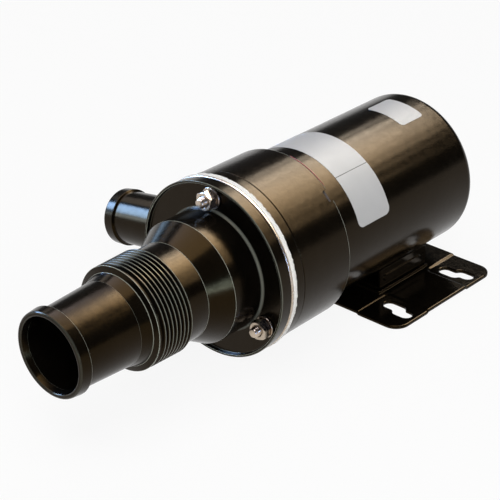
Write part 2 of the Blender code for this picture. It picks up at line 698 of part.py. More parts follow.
def build_studs(axis):
    """Each stud is set in the pump body and takes a plain washer and a hexagon nut."""
    for index, centre in enumerate(stud_centres(), start=1):
        here = add_empty(f"stud_place_{index}", (0, *centre), axis)
        profile = [
            (STUD_TIP, 0.0),
            (STUD_TIP, STUD_RADIUS - STUD_CHAMFER),
            (STUD_TIP + STUD_CHAMFER, STUD_RADIUS),
            (STUD_END, STUD_RADIUS),
            (STUD_END, 0.0),
        ]
        revolve(f"stud_{index}", profile, "stainless", here, SMALL_ROUND, solid=True)
        washer_rear = DISC_FACE - SEAT
        washer_front = washer_rear - WASHER_THICKNESS
        ring(f"stud_washer_{index}", STUD_RADIUS + SEAT, WASHER_RADIUS, washer_front, washer_rear,
             "stainless", here, SMALL_ROUND)
        nut_rear = washer_front - SEAT
        nut = build_nut(f"stud_nut_{index}", NUT_WIDTH, nut_rear - NUT_HEIGHT, nut_rear, "stainless", here)
        drill(nut, STUD_RADIUS + SEAT, (0, 0), nut_rear - NUT_HEIGHT - OVERCUT, nut_rear + OVERCUT, here)


def build_nut(name, width, front, rear, finish, parent):
    """A hexagon with its front corners turned off by a cone."""
    nut = prism(name, hexagon(width), front, rear, finish, parent)
    corner = width / math.sqrt(3)
    chamfer = (corner - width / 2) * math.tan(math.radians(30))
    profile = [
        (front - OVERCUT, 0.0),
        (front - OVERCUT, width / 2),
        (front, width / 2),
        (front + chamfer, corner + OVERCUT),
        (rear + OVERCUT, corner + OVERCUT),
        (rear + OVERCUT, 0.0),
    ]
    cone = revolve(name + "_cone", profile, None, parent, SMALL_ROUND, solid=True)
    combine(nut, cone, "INTERSECT")
    return nut


def build_body_screws(axis):
    """Pan heads in the chamber's back wall, threaded into the motor's front plate."""
    head_rear = WALL_FRONT + BODY_SCREW_RECESS - SEAT
    head_front = head_rear - SCREW_HEAD
    for index, centre in enumerate(body_screw_centres(), start=1):
        here = add_empty(f"body_screw_place_{index}", (0, *centre), axis)
        profile = [
            (head_front, 0.0),
            (head_front, SCREW_HEAD_RADIUS - STUD_CHAMFER),
            (head_front + STUD_CHAMFER, SCREW_HEAD_RADIUS),
            (head_rear, SCREW_HEAD_RADIUS),
            (head_rear, SCREW_RADIUS),
            (PLATE_FRONT + BODY_SCREW_REACH, SCREW_RADIUS),
            (PLATE_FRONT + BODY_SCREW_REACH, 0.0),
        ]
        revolve(f"body_screw_{index}", profile, "stainless", here, SMALL_ROUND, solid=True)


def build_front_plate(axis):
    """Cast plate with a spigot in the can, a slinger recess in front and the front bearing's pocket."""
    pocket = BEARING_RADIUS + SEAT
    profile = [
        (PLATE_FRONT, SLINGER_RECESS_RADIUS),
        (PLATE_FRONT, CAN_RADIUS),
        (FLANGE_REAR, CAN_RADIUS),
        (FLANGE_REAR, CAN_BORE - SEAT),
        (SPIGOT_REAR, CAN_BORE - SEAT),
        (SPIGOT_REAR, FRONT_HUB_RADIUS),
        (HUB_REAR, FRONT_HUB_RADIUS),
        (HUB_REAR, pocket),
        (POCKET_FLOOR, pocket),
        (POCKET_FLOOR, SHAFT_WINDOW_RADIUS),
        (RECESS_FLOOR, SHAFT_WINDOW_RADIUS),
        (RECESS_FLOOR, SLINGER_RECESS_RADIUS),
    ]
    plate = revolve("motor_front_plate", profile, "aluminium", axis, MEDIUM_ROUND)
    for centre in body_screw_centres():
        screw_hole_end = PLATE_FRONT + BODY_SCREW_REACH + SEAT
        drill(plate, SCREW_RADIUS + SEAT, centre, PLATE_FRONT - OVERCUT, screw_hole_end, axis)
    for centre in tie_centres():
        recess_floor = PLATE_FRONT + TIE_RECESS_DEPTH
        drill(plate, SCREW_RADIUS + SEAT, centre, PLATE_FRONT - OVERCUT, SPIGOT_REAR + OVERCUT, axis)
        drill(plate, TIE_HEAD_RADIUS + SEAT, centre, PLATE_FRONT - OVERCUT, recess_floor, axis)
    return plate


def build_motor_can(axis):
    """Drawn can with a rounded closed end, a bearing cup inside it and two threaded bosses."""
    corner = CAN_REAR_CORNER
    inner_corner = corner - CAN_WALL
    cup_bore = BEARING_RADIUS + SEAT
    cup_front = REAR_BEARING + SEAT
    profile = [(CAN_FRONT, CAN_RADIUS - CAN_MOUTH_CHAMFER), (CAN_FRONT + CAN_MOUTH_CHAMFER, CAN_RADIUS)]
    profile += arc((CAN_REAR - corner, CAN_RADIUS - corner), corner, 90, 0, 4)
    profile += [(CAN_REAR, 0.0), (CAN_FLOOR, 0.0), (CAN_FLOOR, cup_bore), (cup_front, cup_bore)]
    profile += [(cup_front, cup_bore + CUP_WALL), (CAN_FLOOR, cup_bore + CUP_WALL)]
    profile += arc((CAN_REAR - corner, CAN_RADIUS - corner), inner_corner, 0, 90, 2)
    profile += [(CAN_FRONT, CAN_BORE)]
    can = revolve_with_floor("motor_can", profile, "black_enamel", axis)
    for centre in tie_centres():
        boss = prism("tie_boss", circle(TIE_BOSS_RADIUS, centre), TIE_BOSS_FRONT, CAN_FLOOR + CAN_WALL / 2,
                     None, axis)
        combine(can, boss, "UNION")
        drill(can, SCREW_RADIUS + SEAT, centre, TIE_BOSS_FRONT - OVERCUT, TIE_BOSS_FRONT + TIE_THREAD, axis)
    lead_hole = grommet_centre()
    drill(can, GROMMET_NECK_RADIUS + SEAT, lead_hole, CAN_FLOOR - OVERCUT, CAN_REAR + OVERCUT, axis)
    for station in (-BASE_SCREW_SPACING / 2, BASE_SCREW_SPACING / 2):
        hole = prism("can_screw_hole", circle(SCREW_RADIUS + SEAT, (station, 0.0)),
                     -CAN_RADIUS - OVERCUT, -CAN_BORE + CAN_WALL, None, axis, along="Z")
        combine(can, hole)
    return can


def revolve_with_floor(name, profile, finish, parent):
    """Turns a shell whose profile crosses the axis once at its closed end."""
    bm = bmesh.new()
    points = [bm.verts.new((station, 0.0, radius)) for station, radius in profile]
    pairs = list(zip(points, points[1:] + points[:1]))
    edges = [bm.edges.new(pair) for pair in pairs if pair[0].co.z > 0 or pair[1].co.z > 0]
    bmesh.ops.spin(bm, geom=points + edges, cent=(0, 0, 0), axis=(1, 0, 0), angle=math.tau,
                   steps=ROUND, use_merge=True)
    bmesh.ops.remove_doubles(bm, verts=bm.verts, dist=1e-6)
    return add_object(name, bm, finish, parent)


def build_can_seal(axis):
    """Rubber ring that seals the skirt's mouth round the can."""
    inner = CAN_RADIUS + SEAT
    outer = inner + SKIRT_LEDGE_WIDTH - SEAT
    front = BODY_REAR - SKIRT_LEDGE_DEPTH + SEAT
    return ring("can_seal", inner, outer, front, BODY_REAR - SEAT / 2, "red_rubber", axis)


def build_magnets(axis):
    """Two ferrite arcs on the can's wall, left and right of the armature."""
    front = CORE_FRONT - MAGNET_OVERHANG
    rear = CORE_REAR + MAGNET_OVERHANG
    for index, middle in enumerate((0, 180), start=1):
        low = middle - MAGNET_HALF_ANGLE
        high = middle + MAGNET_HALF_ANGLE
        outline = arc((0, 0), MAGNET_OUTER_RADIUS, low, high, MAGNET_STEPS)
        outline += arc((0, 0), MAGNET_INNER_RADIUS, high, low, MAGNET_STEPS)
        prism(f"magnet_{index}", outline, front, rear, "ferrite", axis)


def build_tie_bolts(axis):
    """Long bolts through the motor, headed in the front plate and threaded into the can's bosses."""
    head_rear = PLATE_FRONT + TIE_RECESS_DEPTH - SEAT
    tip = TIE_BOSS_FRONT + TIE_THREAD - SEAT
    for index, centre in enumerate(tie_centres(), start=1):
        here = add_empty(f"tie_place_{index}", (0, *centre), axis)
        profile = [
            (head_rear - TIE_HEAD, 0.0),
            (head_rear - TIE_HEAD, TIE_HEAD_RADIUS),
            (head_rear, TIE_HEAD_RADIUS),
            (head_rear, SCREW_RADIUS),
            (tip, SCREW_RADIUS),
            (tip, 0.0),
        ]
        revolve(f"tie_bolt_{index}", profile, "steel", here, SMALL_ROUND, solid=True)


def build_bearing(name, front, fixed_parent, turning_parent):
    """Outer race with its two shields, and the inner race on the shaft."""
    rear = front + BEARING_WIDTH
    race = BEARING_RADIUS - BEARING_OUTER_WALL
    inner_outside = SHAFT_RADIUS + SEAT + BEARING_INNER_WALL
    shield = inner_outside + BEARING_SHIELD_GAP
    profile = [
        (front, shield),
        (front, BEARING_RADIUS),
        (rear, BEARING_RADIUS),
        (rear, shield),
        (rear - BEARING_SHIELD, shield),
        (rear - BEARING_SHIELD, race),
        (front + BEARING_SHIELD, race),
        (front + BEARING_SHIELD, shield),
    ]
    revolve(f"{name}_bearing_outer", profile, "steel", fixed_parent, MEDIUM_ROUND)
    ring(f"{name}_bearing_inner", SHAFT_RADIUS + SEAT, inner_outside, front, rear, "steel", turning_parent,
         MEDIUM_ROUND)


def build_wave_washer(axis):
    front = WAVE_WASHER_REAR - WAVE_WASHER
    return ring("wave_washer", WAVE_WASHER_INNER_RADIUS, BEARING_RADIUS - SEAT, front, WAVE_WASHER_REAR,
                "steel", axis, MEDIUM_ROUND)


def build_grommet(axis):
    """Rubber grommet in the can's closed end, where the motor's leads come out."""
    here = add_empty("grommet_place", (0, *grommet_centre()), axis)
    inside = CAN_FLOOR - SEAT
    outside = CAN_REAR + SEAT
    profile = [
        (inside - GROMMET_FLANGE, GROMMET_BORE_RADIUS),
        (inside - GROMMET_FLANGE, GROMMET_FLANGE_RADIUS),
        (inside, GROMMET_FLANGE_RADIUS),
        (inside, GROMMET_NECK_RADIUS),
        (outside, GROMMET_NECK_RADIUS),
        (outside, GROMMET_FLANGE_RADIUS),
        (outside + GROMMET_FLANGE / 2, GROMMET_FLANGE_RADIUS),
        (outside + GROMMET_FLANGE, GROMMET_NECK_RADIUS),
        (outside + GROMMET_FLANGE, GROMMET_BORE_RADIUS),
    ]
    return revolve("lead_grommet", profile, "black_rubber", here, SMALL_ROUND)


def build_brush_gear(axis):
    """Insulating plate with two holders; each holder's brush slides in it under a coil spring."""
    plate = ring("brush_plate", BRUSH_PLATE_BORE, MAGNET_OUTER_RADIUS, BRUSH_PLATE_FRONT, BRUSH_PLATE_REAR,
                 "board", axis, MEDIUM_ROUND)
    for centre in tie_centres():
        drill(plate, SCREW_RADIUS + SEAT, centre, BRUSH_PLATE_FRONT - OVERCUT, BRUSH_PLATE_REAR + OVERCUT,
              axis)
    for index, side in enumerate((1, -1), start=1):
        build_brush_holder(index, side, axis)
        build_brush(index, side, axis)
        build_brush_spring(index, side, axis)


def build_brush_holder(index, side, axis):
    """Square brass tube along Y, closed at its outer end."""
    reach = BRUSH_ACROSS / 2 + SEAT
    front = BRUSH_FRONT - SEAT
    rear = BRUSH_FRONT + BRUSH_ALONG + SEAT
    outside = rectangle((-reach - HOLDER_WALL, front - HOLDER_WALL),
                        (reach + HOLDER_WALL, BRUSH_PLATE_FRONT - SEAT))
    holder = prism(f"brush_holder_{index}", outside, side * HOLDER_START, side * HOLDER_END, "brass", axis,
                   along="Y")
    mouth = side * (HOLDER_START - OVERCUT)
    channel = prism(f"holder_channel_{index}", rectangle((-reach, front), (reach, rear)), mouth,
                    side * (HOLDER_END - HOLDER_END_WALL), None, axis, along="Y")
    combine(holder, channel)


def build_brush(index, side, axis):
    """Carbon block on the commutator; its place is the point where it touches."""
    here = add_empty(f"brush_place_{index}", (BRUSH_FRONT + BRUSH_ALONG / 2, side * BRUSH_START, 0), axis)
    half = BRUSH_ACROSS / 2
    outline = rectangle((-half, -BRUSH_ALONG / 2), (half, BRUSH_ALONG / 2))
    prism(f"brush_{index}", outline, 0.0, side * BRUSH_LENGTH, "carbon", here, along="Y")


def build_brush_spring(index, side, axis):
    """Coil between the brush's back and the holder's end, as a wire along a helix."""
    wire = SPRING_WIRE_RADIUS
    start = BRUSH_START + BRUSH_LENGTH + SEAT + wire
    end = HOLDER_END - HOLDER_END_WALL - SEAT - wire
    count = SPRING_TURNS * SPRING_POINTS_PER_TURN
    curve = bpy.data.curves.new(f"brush_spring_{index}", "CURVE")
    curve.dimensions = "3D"
    curve.bevel_depth = wire
    curve.bevel_resolution = 0
    curve.use_fill_caps = True
    wind = curve.splines.new("POLY")
    wind.points.add(count)
    middle = BRUSH_FRONT + BRUSH_ALONG / 2
    for step, point in enumerate(wind.points):
        across, along = polar(SPRING_RADIUS, 360 * step / SPRING_POINTS_PER_TURN)
        reach = start + (end - start) * step / count
        point.co = (middle + along, side * reach, across, 1.0)
    spring = bpy.data.objects.new(f"brush_spring_{index}", curve)
    bpy.context.collection.objects.link(spring)
    spring.parent = axis
    paint(spring, "steel")


def build_shaft(rotor):
    """Thread for the chopper's nut, two drive flats, a long plain stretch and a thicker core seat."""
    core_seat_front = FRONT_BEARING + BEARING_WIDTH + SEAT
    rear_end = WAVE_WASHER_REAR - WAVE_WASHER
    profile = [
        (SHAFT_FRONT, 0.0),
        (SHAFT_FRONT, SHAFT_THREAD_RADIUS - STUD_CHAMFER),
        (SHAFT_FRONT + STUD_CHAMFER, SHAFT_THREAD_RADIUS),
        (CUTTER_FRONT, SHAFT_THREAD_RADIUS),
        (CUTTER_FRONT, SHAFT_RADIUS),
        (core_seat_front, SHAFT_RADIUS),
        (core_seat_front, SHAFT_CORE_RADIUS),
        (COMMUTATOR_FRONT - SEAT, SHAFT_CORE_RADIUS),
        (COMMUTATOR_FRONT - SEAT, SHAFT_RADIUS),
        (rear_end, SHAFT_RADIUS),
        (rear_end, 0.0),
    ]
    shaft = revolve("shaft", profile, "stainless", rotor, MEDIUM_ROUND, solid=True)
    for side in (1, -1):
        low = min(side * SHAFT_FLAT_HALF, side * SHAFT_CORE_RADIUS)
        high = max(side * SHAFT_FLAT_HALF, side * SHAFT_CORE_RADIUS)
        outline = rectangle((low, -SHAFT_CORE_RADIUS), (high, SHAFT_CORE_RADIUS))
        flat = prism("shaft_flat", outline, CUTTER_FRONT - OVERCUT, CUTTER_REAR + SEAT, None, rotor)
        combine(shaft, flat)
    combine(shaft, key_tool("shaft_keyway", KEY_LOW - SEAT, SHAFT_CORE_RADIUS, key_front() - SEAT,
                            key_front() + KEY_LENGTH + SEAT, rotor))
    return shaft


def key_front():
    return (IMPELLER_FRONT + IMPELLER_REAR - KEY_LENGTH) / 2


def key_tool(name, low, high, start, end, rotor):
    half = KEY_WIDTH / 2 + SEAT
    return prism(name, rectangle((-half, low), (half, high)), start, end, None, rotor)


def build_impeller_key(rotor):
    outline = rectangle((-KEY_WIDTH / 2, KEY_LOW), (KEY_WIDTH / 2, KEY_HIGH))
    return prism("impeller_key", outline, key_front(), key_front() + KEY_LENGTH, "steel", rotor)


def core_outline():
    """Twelve teeth with narrow slot mouths, and a little arc on each tooth."""
    pitch = 360 / CORE_SLOTS
    outline = []
    for index in range(CORE_SLOTS):
        slot = index * pitch
        outline += [
            polar(SLOT_LIP_RADIUS, slot - SLOT_MOUTH_HALF_ANGLE),
            polar(SLOT_SHOULDER_RADIUS, slot - SLOT_HALF_ANGLE),
            polar(SLOT_FLOOR_RADIUS, slot - SLOT_HALF_ANGLE),
            polar(SLOT_FLOOR_RADIUS, slot + SLOT_HALF_ANGLE),
            polar(SLOT_SHOULDER_RADIUS, slot + SLOT_HALF_ANGLE),
            polar(SLOT_LIP_RADIUS, slot + SLOT_MOUTH_HALF_ANGLE),
        ]
        tooth_end = slot + pitch - SLOT_MOUTH_HALF_ANGLE
        outline += arc((0, 0), CORE_RADIUS, slot + SLOT_MOUTH_HALF_ANGLE, tooth_end, 4)
    return outline


def build_armature_core(rotor):
    core = prism("armature_core", core_outline(), CORE_FRONT, CORE_REAR, "steel", rotor)
    drill(core, SHAFT_CORE_RADIUS + SEAT, (0, 0), CORE_FRONT - OVERCUT, CORE_REAR + OVERCUT, rotor,
          MEDIUM_ROUND)
    return core


def build_winding(rotor):
    """Coil sides in the slots, joined by a rounded bundle at each end of the core."""
    front_face = CORE_FRONT - SEAT
    rear_face = CORE_REAR + SEAT
    winding = winding_end("armature_winding", front_face, -1, "copper", rotor)
    rear = winding_end("winding_rear", rear_face, 1, None, rotor)
    combine(winding, rear, "UNION")
    low = SLOT_FLOOR_RADIUS + SEAT
    high = SLOT_SHOULDER_RADIUS - SEAT
    spread = math.sin(math.radians(SLOT_HALF_ANGLE))
    for index in range(CORE_SLOTS):
        outline = [
            (low, -low * spread + SEAT),
            (high, -high * spread + SEAT),
            (high, high * spread - SEAT),
            (low, low * spread - SEAT),
        ]
        bar = prism("coil_side", outline, front_face - OVERCUT, rear_face + OVERCUT, None, rotor)
        bar.rotation_euler = (math.radians(360 * index / CORE_SLOTS), 0, 0)
        combine(winding, bar, "UNION")
    return winding


def winding_end(name, face, heading, finish, rotor):
    """Bundle of coil ends that starts at the core's face and is chamfered at its far side."""
    chamfer = WINDING_LENGTH / 3
    far = face + heading * WINDING_LENGTH
    shoulder = far - heading * chamfer
    profile = [
        (face, WINDING_INNER_RADIUS),
        (shoulder, WINDING_INNER_RADIUS),
        (far, WINDING_INNER_RADIUS + chamfer),
        (far, WINDING_OUTER_RADIUS - chamfer),
        (shoulder, WINDING_OUTER_RADIUS),
        (face, WINDING_OUTER_RADIUS),
    ]
    return revolve(name, profile, finish, rotor, MEDIUM_ROUND)


def build_commutator(rotor):
    """Copper bars with narrow grooves between them."""
    pitch = 360 / COMMUTATOR_BARS
    half = math.degrees(COMMUTATOR_GROOVE / 2 / COMMUTATOR_RADIUS)
    floor = COMMUTATOR_RADIUS - 2 * COMMUTATOR_GROOVE
    outline = []
    for index in range(COMMUTATOR_BARS):
        groove = (index + 0.5) * pitch
        outline += [polar(floor, groove - half), polar(floor, groove + half)]
        outline += arc((0, 0), COMMUTATOR_RADIUS, groove + half, groove + pitch - half, 2)
    rear = COMMUTATOR_FRONT + COMMUTATOR_LENGTH
    commutator = prism("commutator", outline, COMMUTATOR_FRONT, rear, "copper", rotor)
    drill(commutator, SHAFT_RADIUS + SEAT, (0, 0), COMMUTATOR_FRONT - OVERCUT, rear + OVERCUT, rotor,
          MEDIUM_ROUND)
    return commutator


def build_slinger(rotor):
    """Rubber disc that throws off any seepage before it reaches the bearing."""
    middle = (PLATE_FRONT + RECESS_FLOOR) / 2
    return ring("slinger", SHAFT_RADIUS + SEAT, SLINGER_RADIUS, middle - SLINGER_THICKNESS / 2,
                middle + SLINGER_THICKNESS / 2, "black_rubber", rotor, MEDIUM_ROUND)


def vane_outline():
    """Hub and swept vanes as one outline."""
    outline = []
    pitch = 360 / IMPELLER_VANES
    for index in range(IMPELLER_VANES):
        base = index * pitch
        leading = []
        trailing = []
        for step in range(VANE_STEPS + 1):
            share = step / VANE_STEPS
            radius = IMPELLER_HUB_RADIUS + (IMPELLER_RADIUS - IMPELLER_HUB_RADIUS) * share
            half = math.degrees(VANE_THICKNESS / 2 / radius)
            sweep = VANE_SWEEP * share ** 1.3
            leading.append(polar(radius, base - sweep - half))
            trailing.append(polar(radius, base - sweep + half))
        outline += leading + trailing[::-1]
        gap = math.degrees(VANE_THICKNESS / 2 / IMPELLER_HUB_RADIUS)
        outline += arc((0, 0), IMPELLER_HUB_RADIUS, base + gap, base + pitch - gap, 4)[1:-1]
    return outline


def build_impeller(rotor):
    """Open impeller: swept vanes in front of a back disc, keyed on the shaft."""
    vanes_end = IMPELLER_REAR - IMPELLER_DISC / 2
    front = IMPELLER_FRONT - OVERCUT
    rear = IMPELLER_REAR + OVERCUT
    impeller = prism("impeller", vane_outline(), IMPELLER_FRONT, vanes_end, "green_rubber", rotor)
    disc = prism("impeller_disc", circle(IMPELLER_RADIUS, segments=ROUND), IMPELLER_REAR - IMPELLER_DISC,
                 IMPELLER_REAR, None, rotor)
    combine(impeller, disc, "UNION")
    drill(impeller, SHAFT_RADIUS + SEAT, (0, 0), front, rear, rotor, MEDIUM_ROUND)
    combine(impeller, key_tool("hub_keyway", 0.0, KEY_HIGH + SEAT, front, rear, rotor))
    return impeller


def cutter_outline():
    """Leaning blades on a round hub."""
    outline = []
    pitch = 360 / CUTTER_BLADES
    for index in range(CUTTER_BLADES):
        base = index * pitch
        tip = base + CUTTER_BLADE_LEAN
        outline.append(polar(CUTTER_HUB_RADIUS, base - CUTTER_BLADE_ROOT))
        outline += arc((0, 0), CUTTER_RADIUS, tip - CUTTER_BLADE_TIP, tip + CUTTER_BLADE_TIP, 4)
        outline.append(polar(CUTTER_HUB_RADIUS, base + CUTTER_BLADE_ROOT))
    return outline


def drive_hole_outline():
    """Round hole with two flats that fit the shaft's."""
    radius = SHAFT_RADIUS + SEAT
    half = SHAFT_FLAT_HALF + SEAT
    edge = math.degrees(math.acos(half / radius))
    return arc((0, 0), radius, edge, 180 - edge, 6) + arc((0, 0), radius, 180 + edge, 360 - edge, 6)


def build_cutter(rotor):
    """Chopper plate on the shaft's flats and the nut that holds it."""
    cutter = prism("cutter_plate", cutter_outline(), CUTTER_FRONT, CUTTER_REAR, "stainless", rotor)
    hole = prism("drive_hole", drive_hole_outline(), CUTTER_FRONT - OVERCUT, CUTTER_REAR + OVERCUT, None,
                 rotor)
    combine(cutter, hole)
    nut = build_nut("cutter_nut", CUTTER_NUT_WIDTH, CUTTER_NUT_FRONT, CUTTER_NUT_REAR, "stainless", rotor)
    drill(nut, SHAFT_THREAD_RADIUS + SEAT, (0, 0), CUTTER_NUT_FRONT - OVERCUT, CUTTER_NUT_REAR + OVERCUT,
          rotor)


def plate_height(x, y):
    """Underside of the pressed sheet: pads low at the corners, the rest raised."""
    inside_x = abs(x) < PLATE_LENGTH / 2 - PAD_LENGTH - RAMP_WIDTH / 2
    inside_y = abs(y) < PLATE_WIDTH / 2 - PAD_WIDTH - RAMP_WIDTH / 2
    return 0.0 if inside_x or inside_y else -PANEL_RAISE


def build_base_plate():
    pad_x = PLATE_LENGTH / 2 - PAD_LENGTH
    pad_y = PLATE_WIDTH / 2 - PAD_WIDTH
    half_x = [pad_x - RAMP_WIDTH, pad_x, PLATE_LENGTH / 2]
    half_y = [pad_y - RAMP_WIDTH, pad_y, PLATE_WIDTH / 2]
    xs = [-value for value in reversed(half_x)] + half_x
    ys = [-value for value in reversed(half_y)] + half_y
    bm = bmesh.new()
    sheets = []
    for lift in (0.0, PLATE_SHEET):
        sheets.append([[bm.verts.new((x, y, plate_height(x, y) + lift)) for y in ys] for x in xs])
    for sheet in sheets:
        for first, second in zip(sheet, sheet[1:]):
            for a, b, c, d in zip(first, first[1:], second[1:], second):
                bm.faces.new((a, b, c, d))
    last = len(xs) - 1
    border = [(0, j) for j in range(last)] + [(i, last) for i in range(last)]
    border += [(last, j) for j in range(last, 0, -1)] + [(i, 0) for i in range(last, 0, -1)]
    under, over = sheets
    for here, there in zip(border, border[1:] + border[:1]):
        bm.faces.new((under[here[0]][here[1]], under[there[0]][there[1]], over[there[0]][there[1]],
                      over[here[0]][here[1]]))
    bmesh.ops.triangulate(bm, faces=bm.faces)
    plate = add_object("base_plate", bm, "black_enamel", None)
    reach = PLATE_SHEET + PANEL_RAISE
    outline = rounded_rectangle(PLATE_LENGTH, PLATE_WIDTH, PLATE_CORNER)
    combine(plate, prism("plate_corners", outline, -reach, reach, None, None, along="Z"), "INTERSECT")
    for side_x in (1, -1):
        for side_y in (1, -1):
            cut_slot(plate, side_x, side_y, reach)
    for station in (-BASE_SCREW_SPACING / 2, BASE_SCREW_SPACING / 2):
        outline = circle(BASE_SCREW_HEAD_RADIUS + SEAT, (station, 0.0))
        combine(plate, prism("plate_screw_hole", outline, -reach, reach, None, None, along="Z"))
    return plate


def cut_slot(plate, side_x, side_y, reach):
    """Mounting slot of two lobes, the outer one set further from the plate's middle."""
    radius = SLOT_WIDTH / 2
    half_x = PLATE_LENGTH / 2
    inner_end = PLATE_WIDTH / 2 - SLOT_INNER_INSET_Y
    outer_end = PLATE_WIDTH / 2 - SLOT_OUTER_INSET_Y
    lobes = [
        (half_x - SLOT_INNER_INSET_X, inner_end + radius, inner_end + SLOT_INNER_LENGTH - radius),
        (half_x - SLOT_OUTER_INSET_X, outer_end - SLOT_OUTER_LENGTH + radius, outer_end - radius),
    ]
    for x, start, end in lobes:
        outline = stadium((side_x * x, side_y * start), (side_x * x, side_y * end), radius)
        combine(plate, prism("slot_lobe", outline, -reach, reach, None, None, along="Z"))


def build_cradle():
    """Channel welded on the plate: the can lies on its web and between its walls."""
    low = PLATE_SHEET + SEAT
    outer = CRADLE_HALF_WIDTH
    inner = outer - CRADLE_SHEET
    bend = CRADLE_BEND
    inner_bend = bend - CRADLE_SHEET
    contact = CAN_RADIUS + SEAT
    outer_top = AXIS_HEIGHT - math.sqrt(contact ** 2 - outer ** 2)
    inner_top = AXIS_HEIGHT - math.sqrt(contact ** 2 - inner ** 2)
    right = [(outer, outer_top), (inner, inner_top)]
    right += arc((outer - bend, low + bend), inner_bend, 0, -90, 4)
    left = [(-y, z) for y, z in reversed(right)]
    outline = right + left
    outline += arc((-outer + bend, low + bend), bend, 180, 270, 4)
    outline += arc((outer - bend, low + bend), bend, 270, 360, 4)
    cradle = prism("motor_cradle", outline, -CRADLE_LENGTH / 2, CRADLE_LENGTH / 2, "black_enamel", None)
    for side in (1, -1):
        add_bead(cradle, side)
    for station in (-BASE_SCREW_SPACING / 2, BASE_SCREW_SPACING / 2):
        hole = prism("cradle_screw_hole", circle(SCREW_RADIUS + SEAT, (station, 0.0)), low - OVERCUT,
                     low + CRADLE_SHEET + OVERCUT, None, None, along="Z")
        combine(cradle, hole)
    return cradle


def add_bead(cradle, side):
    """Long stiffening bead pressed outwards in the cradle's wall."""
    radius = CRADLE_BEAD_WIDTH / 2
    run = CRADLE_BEAD_LENGTH / 2 - radius
    outer = CRADLE_HALF_WIDTH
    inner = outer - CRADLE_SHEET
    raised = stadium((CRADLE_BEAD_HEIGHT, -run), (CRADLE_BEAD_HEIGHT, run), radius)
    bead = prism("bead_raised", raised, side * (inner + CRADLE_SHEET / 2), side * (outer + CRADLE_BEAD_DEPTH),
                 None, None, along="Y")
    combine(cradle, bead, "UNION")
    hollow = stadium((CRADLE_BEAD_HEIGHT, -run), (CRADLE_BEAD_HEIGHT, run), radius - CRADLE_BEAD_DEPTH)
    trough = prism("bead_hollow", hollow, side * (inner - OVERCUT), side * (inner + CRADLE_BEAD_DEPTH), None,
                   None, along="Y")
    combine(cradle, trough)


def build_base_screws():
    """Low heads in the plate's clearance holes, clamping the cradle's web to the can's wall."""
    head_top = PLATE_SHEET
    tip = AXIS_HEIGHT - CAN_BORE + BASE_SCREW_GRIP
    for index, station in enumerate((-BASE_SCREW_SPACING / 2, BASE_SCREW_SPACING / 2), start=1):
        profile = [
            (head_top - BASE_SCREW_HEAD, 0.0),
            (head_top - BASE_SCREW_HEAD, BASE_SCREW_HEAD_RADIUS - SEAT),
            (head_top - BASE_SCREW_HEAD / 2, BASE_SCREW_HEAD_RADIUS),
            (head_top, BASE_SCREW_HEAD_RADIUS),
            (head_top, SCREW_RADIUS),
            (tip, SCREW_RADIUS),
            (tip, 0.0),
        ]
        screw = revolve(f"base_screw_{index}", profile, "stainless", None, SMALL_ROUND, solid=True)
        screw.rotation_euler = (0, math.radians(-90), 0)
        screw.location = (station, 0, 0)


def build_pump_head(axis):
    build_inlet_housing(axis)
    build_oring("inlet_oring", INLET_ORING_RADIUS, DISC_REAR - ORING_SECTION, axis)
    build_wear_plate(axis)
    build_cover_gasket(axis)
    build_impeller_cover(axis)
    build_oring("cover_oring", COVER_ORING_RADIUS, BODY_FRONT + ORING_SECTION, axis)
    build_pump_body(axis)
    build_shaft_seal(axis)
    build_studs(axis)
    build_body_screws(axis)


def build_motor(axis, rotor):
    build_front_plate(axis)
    build_motor_can(axis)
    build_can_seal(axis)
    build_magnets(axis)
    build_tie_bolts(axis)
    build_bearing("front", FRONT_BEARING, axis, rotor)
    build_bearing("rear", REAR_BEARING, axis, rotor)
    build_wave_washer(axis)
    build_grommet(axis)
    build_brush_gear(axis)


def build_rotor(rotor):
    build_shaft(rotor)
    build_armature_core(rotor)
    build_winding(rotor)
    build_commutator(rotor)
    build_slinger(rotor)
    build_impeller(rotor)
    build_impeller_key(rotor)
    build_cutter(rotor)


def build_stand():
    build_base_plate()
    build_cradle()
    build_base_screws()


def main():
    clear_scene()
    axis = add_empty("pump_axis", (0, 0, AXIS_HEIGHT))
    rotor = add_empty("rotor_axis", (0, 0, 0), axis)
    build_pump_head(axis)
    build_motor(axis, rotor)
    build_rotor(rotor)
    build_stand()


main()
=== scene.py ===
"""Macerator pump: fine meshes, procedural materials, studio light and the photograph's camera.

Lengths are in millimetres until a mesh is made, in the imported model's frame. A station is a distance
along X. Turned pieces are profiles of (station, radius) about the pump's axis, and an angle is counted
from +Y towards +Z.
"""
import json
import math

import bmesh
import bpy
import numpy as np
from mathutils import Matrix, Vector


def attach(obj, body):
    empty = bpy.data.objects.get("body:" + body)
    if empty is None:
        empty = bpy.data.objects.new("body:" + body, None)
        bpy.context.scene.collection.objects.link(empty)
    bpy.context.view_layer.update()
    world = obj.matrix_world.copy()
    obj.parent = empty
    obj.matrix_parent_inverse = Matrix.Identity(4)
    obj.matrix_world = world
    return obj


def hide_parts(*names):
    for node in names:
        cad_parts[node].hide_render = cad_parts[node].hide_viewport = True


MM = 0.001
AXIS_Z = 38.9
COLUMNS = 192
# Edges sharper than these angles are shaded as edges, and rounded by a bevel
SHARP_ANGLE = 35
BEVEL_ANGLE = 28
CAN_RADIUS = 35.5

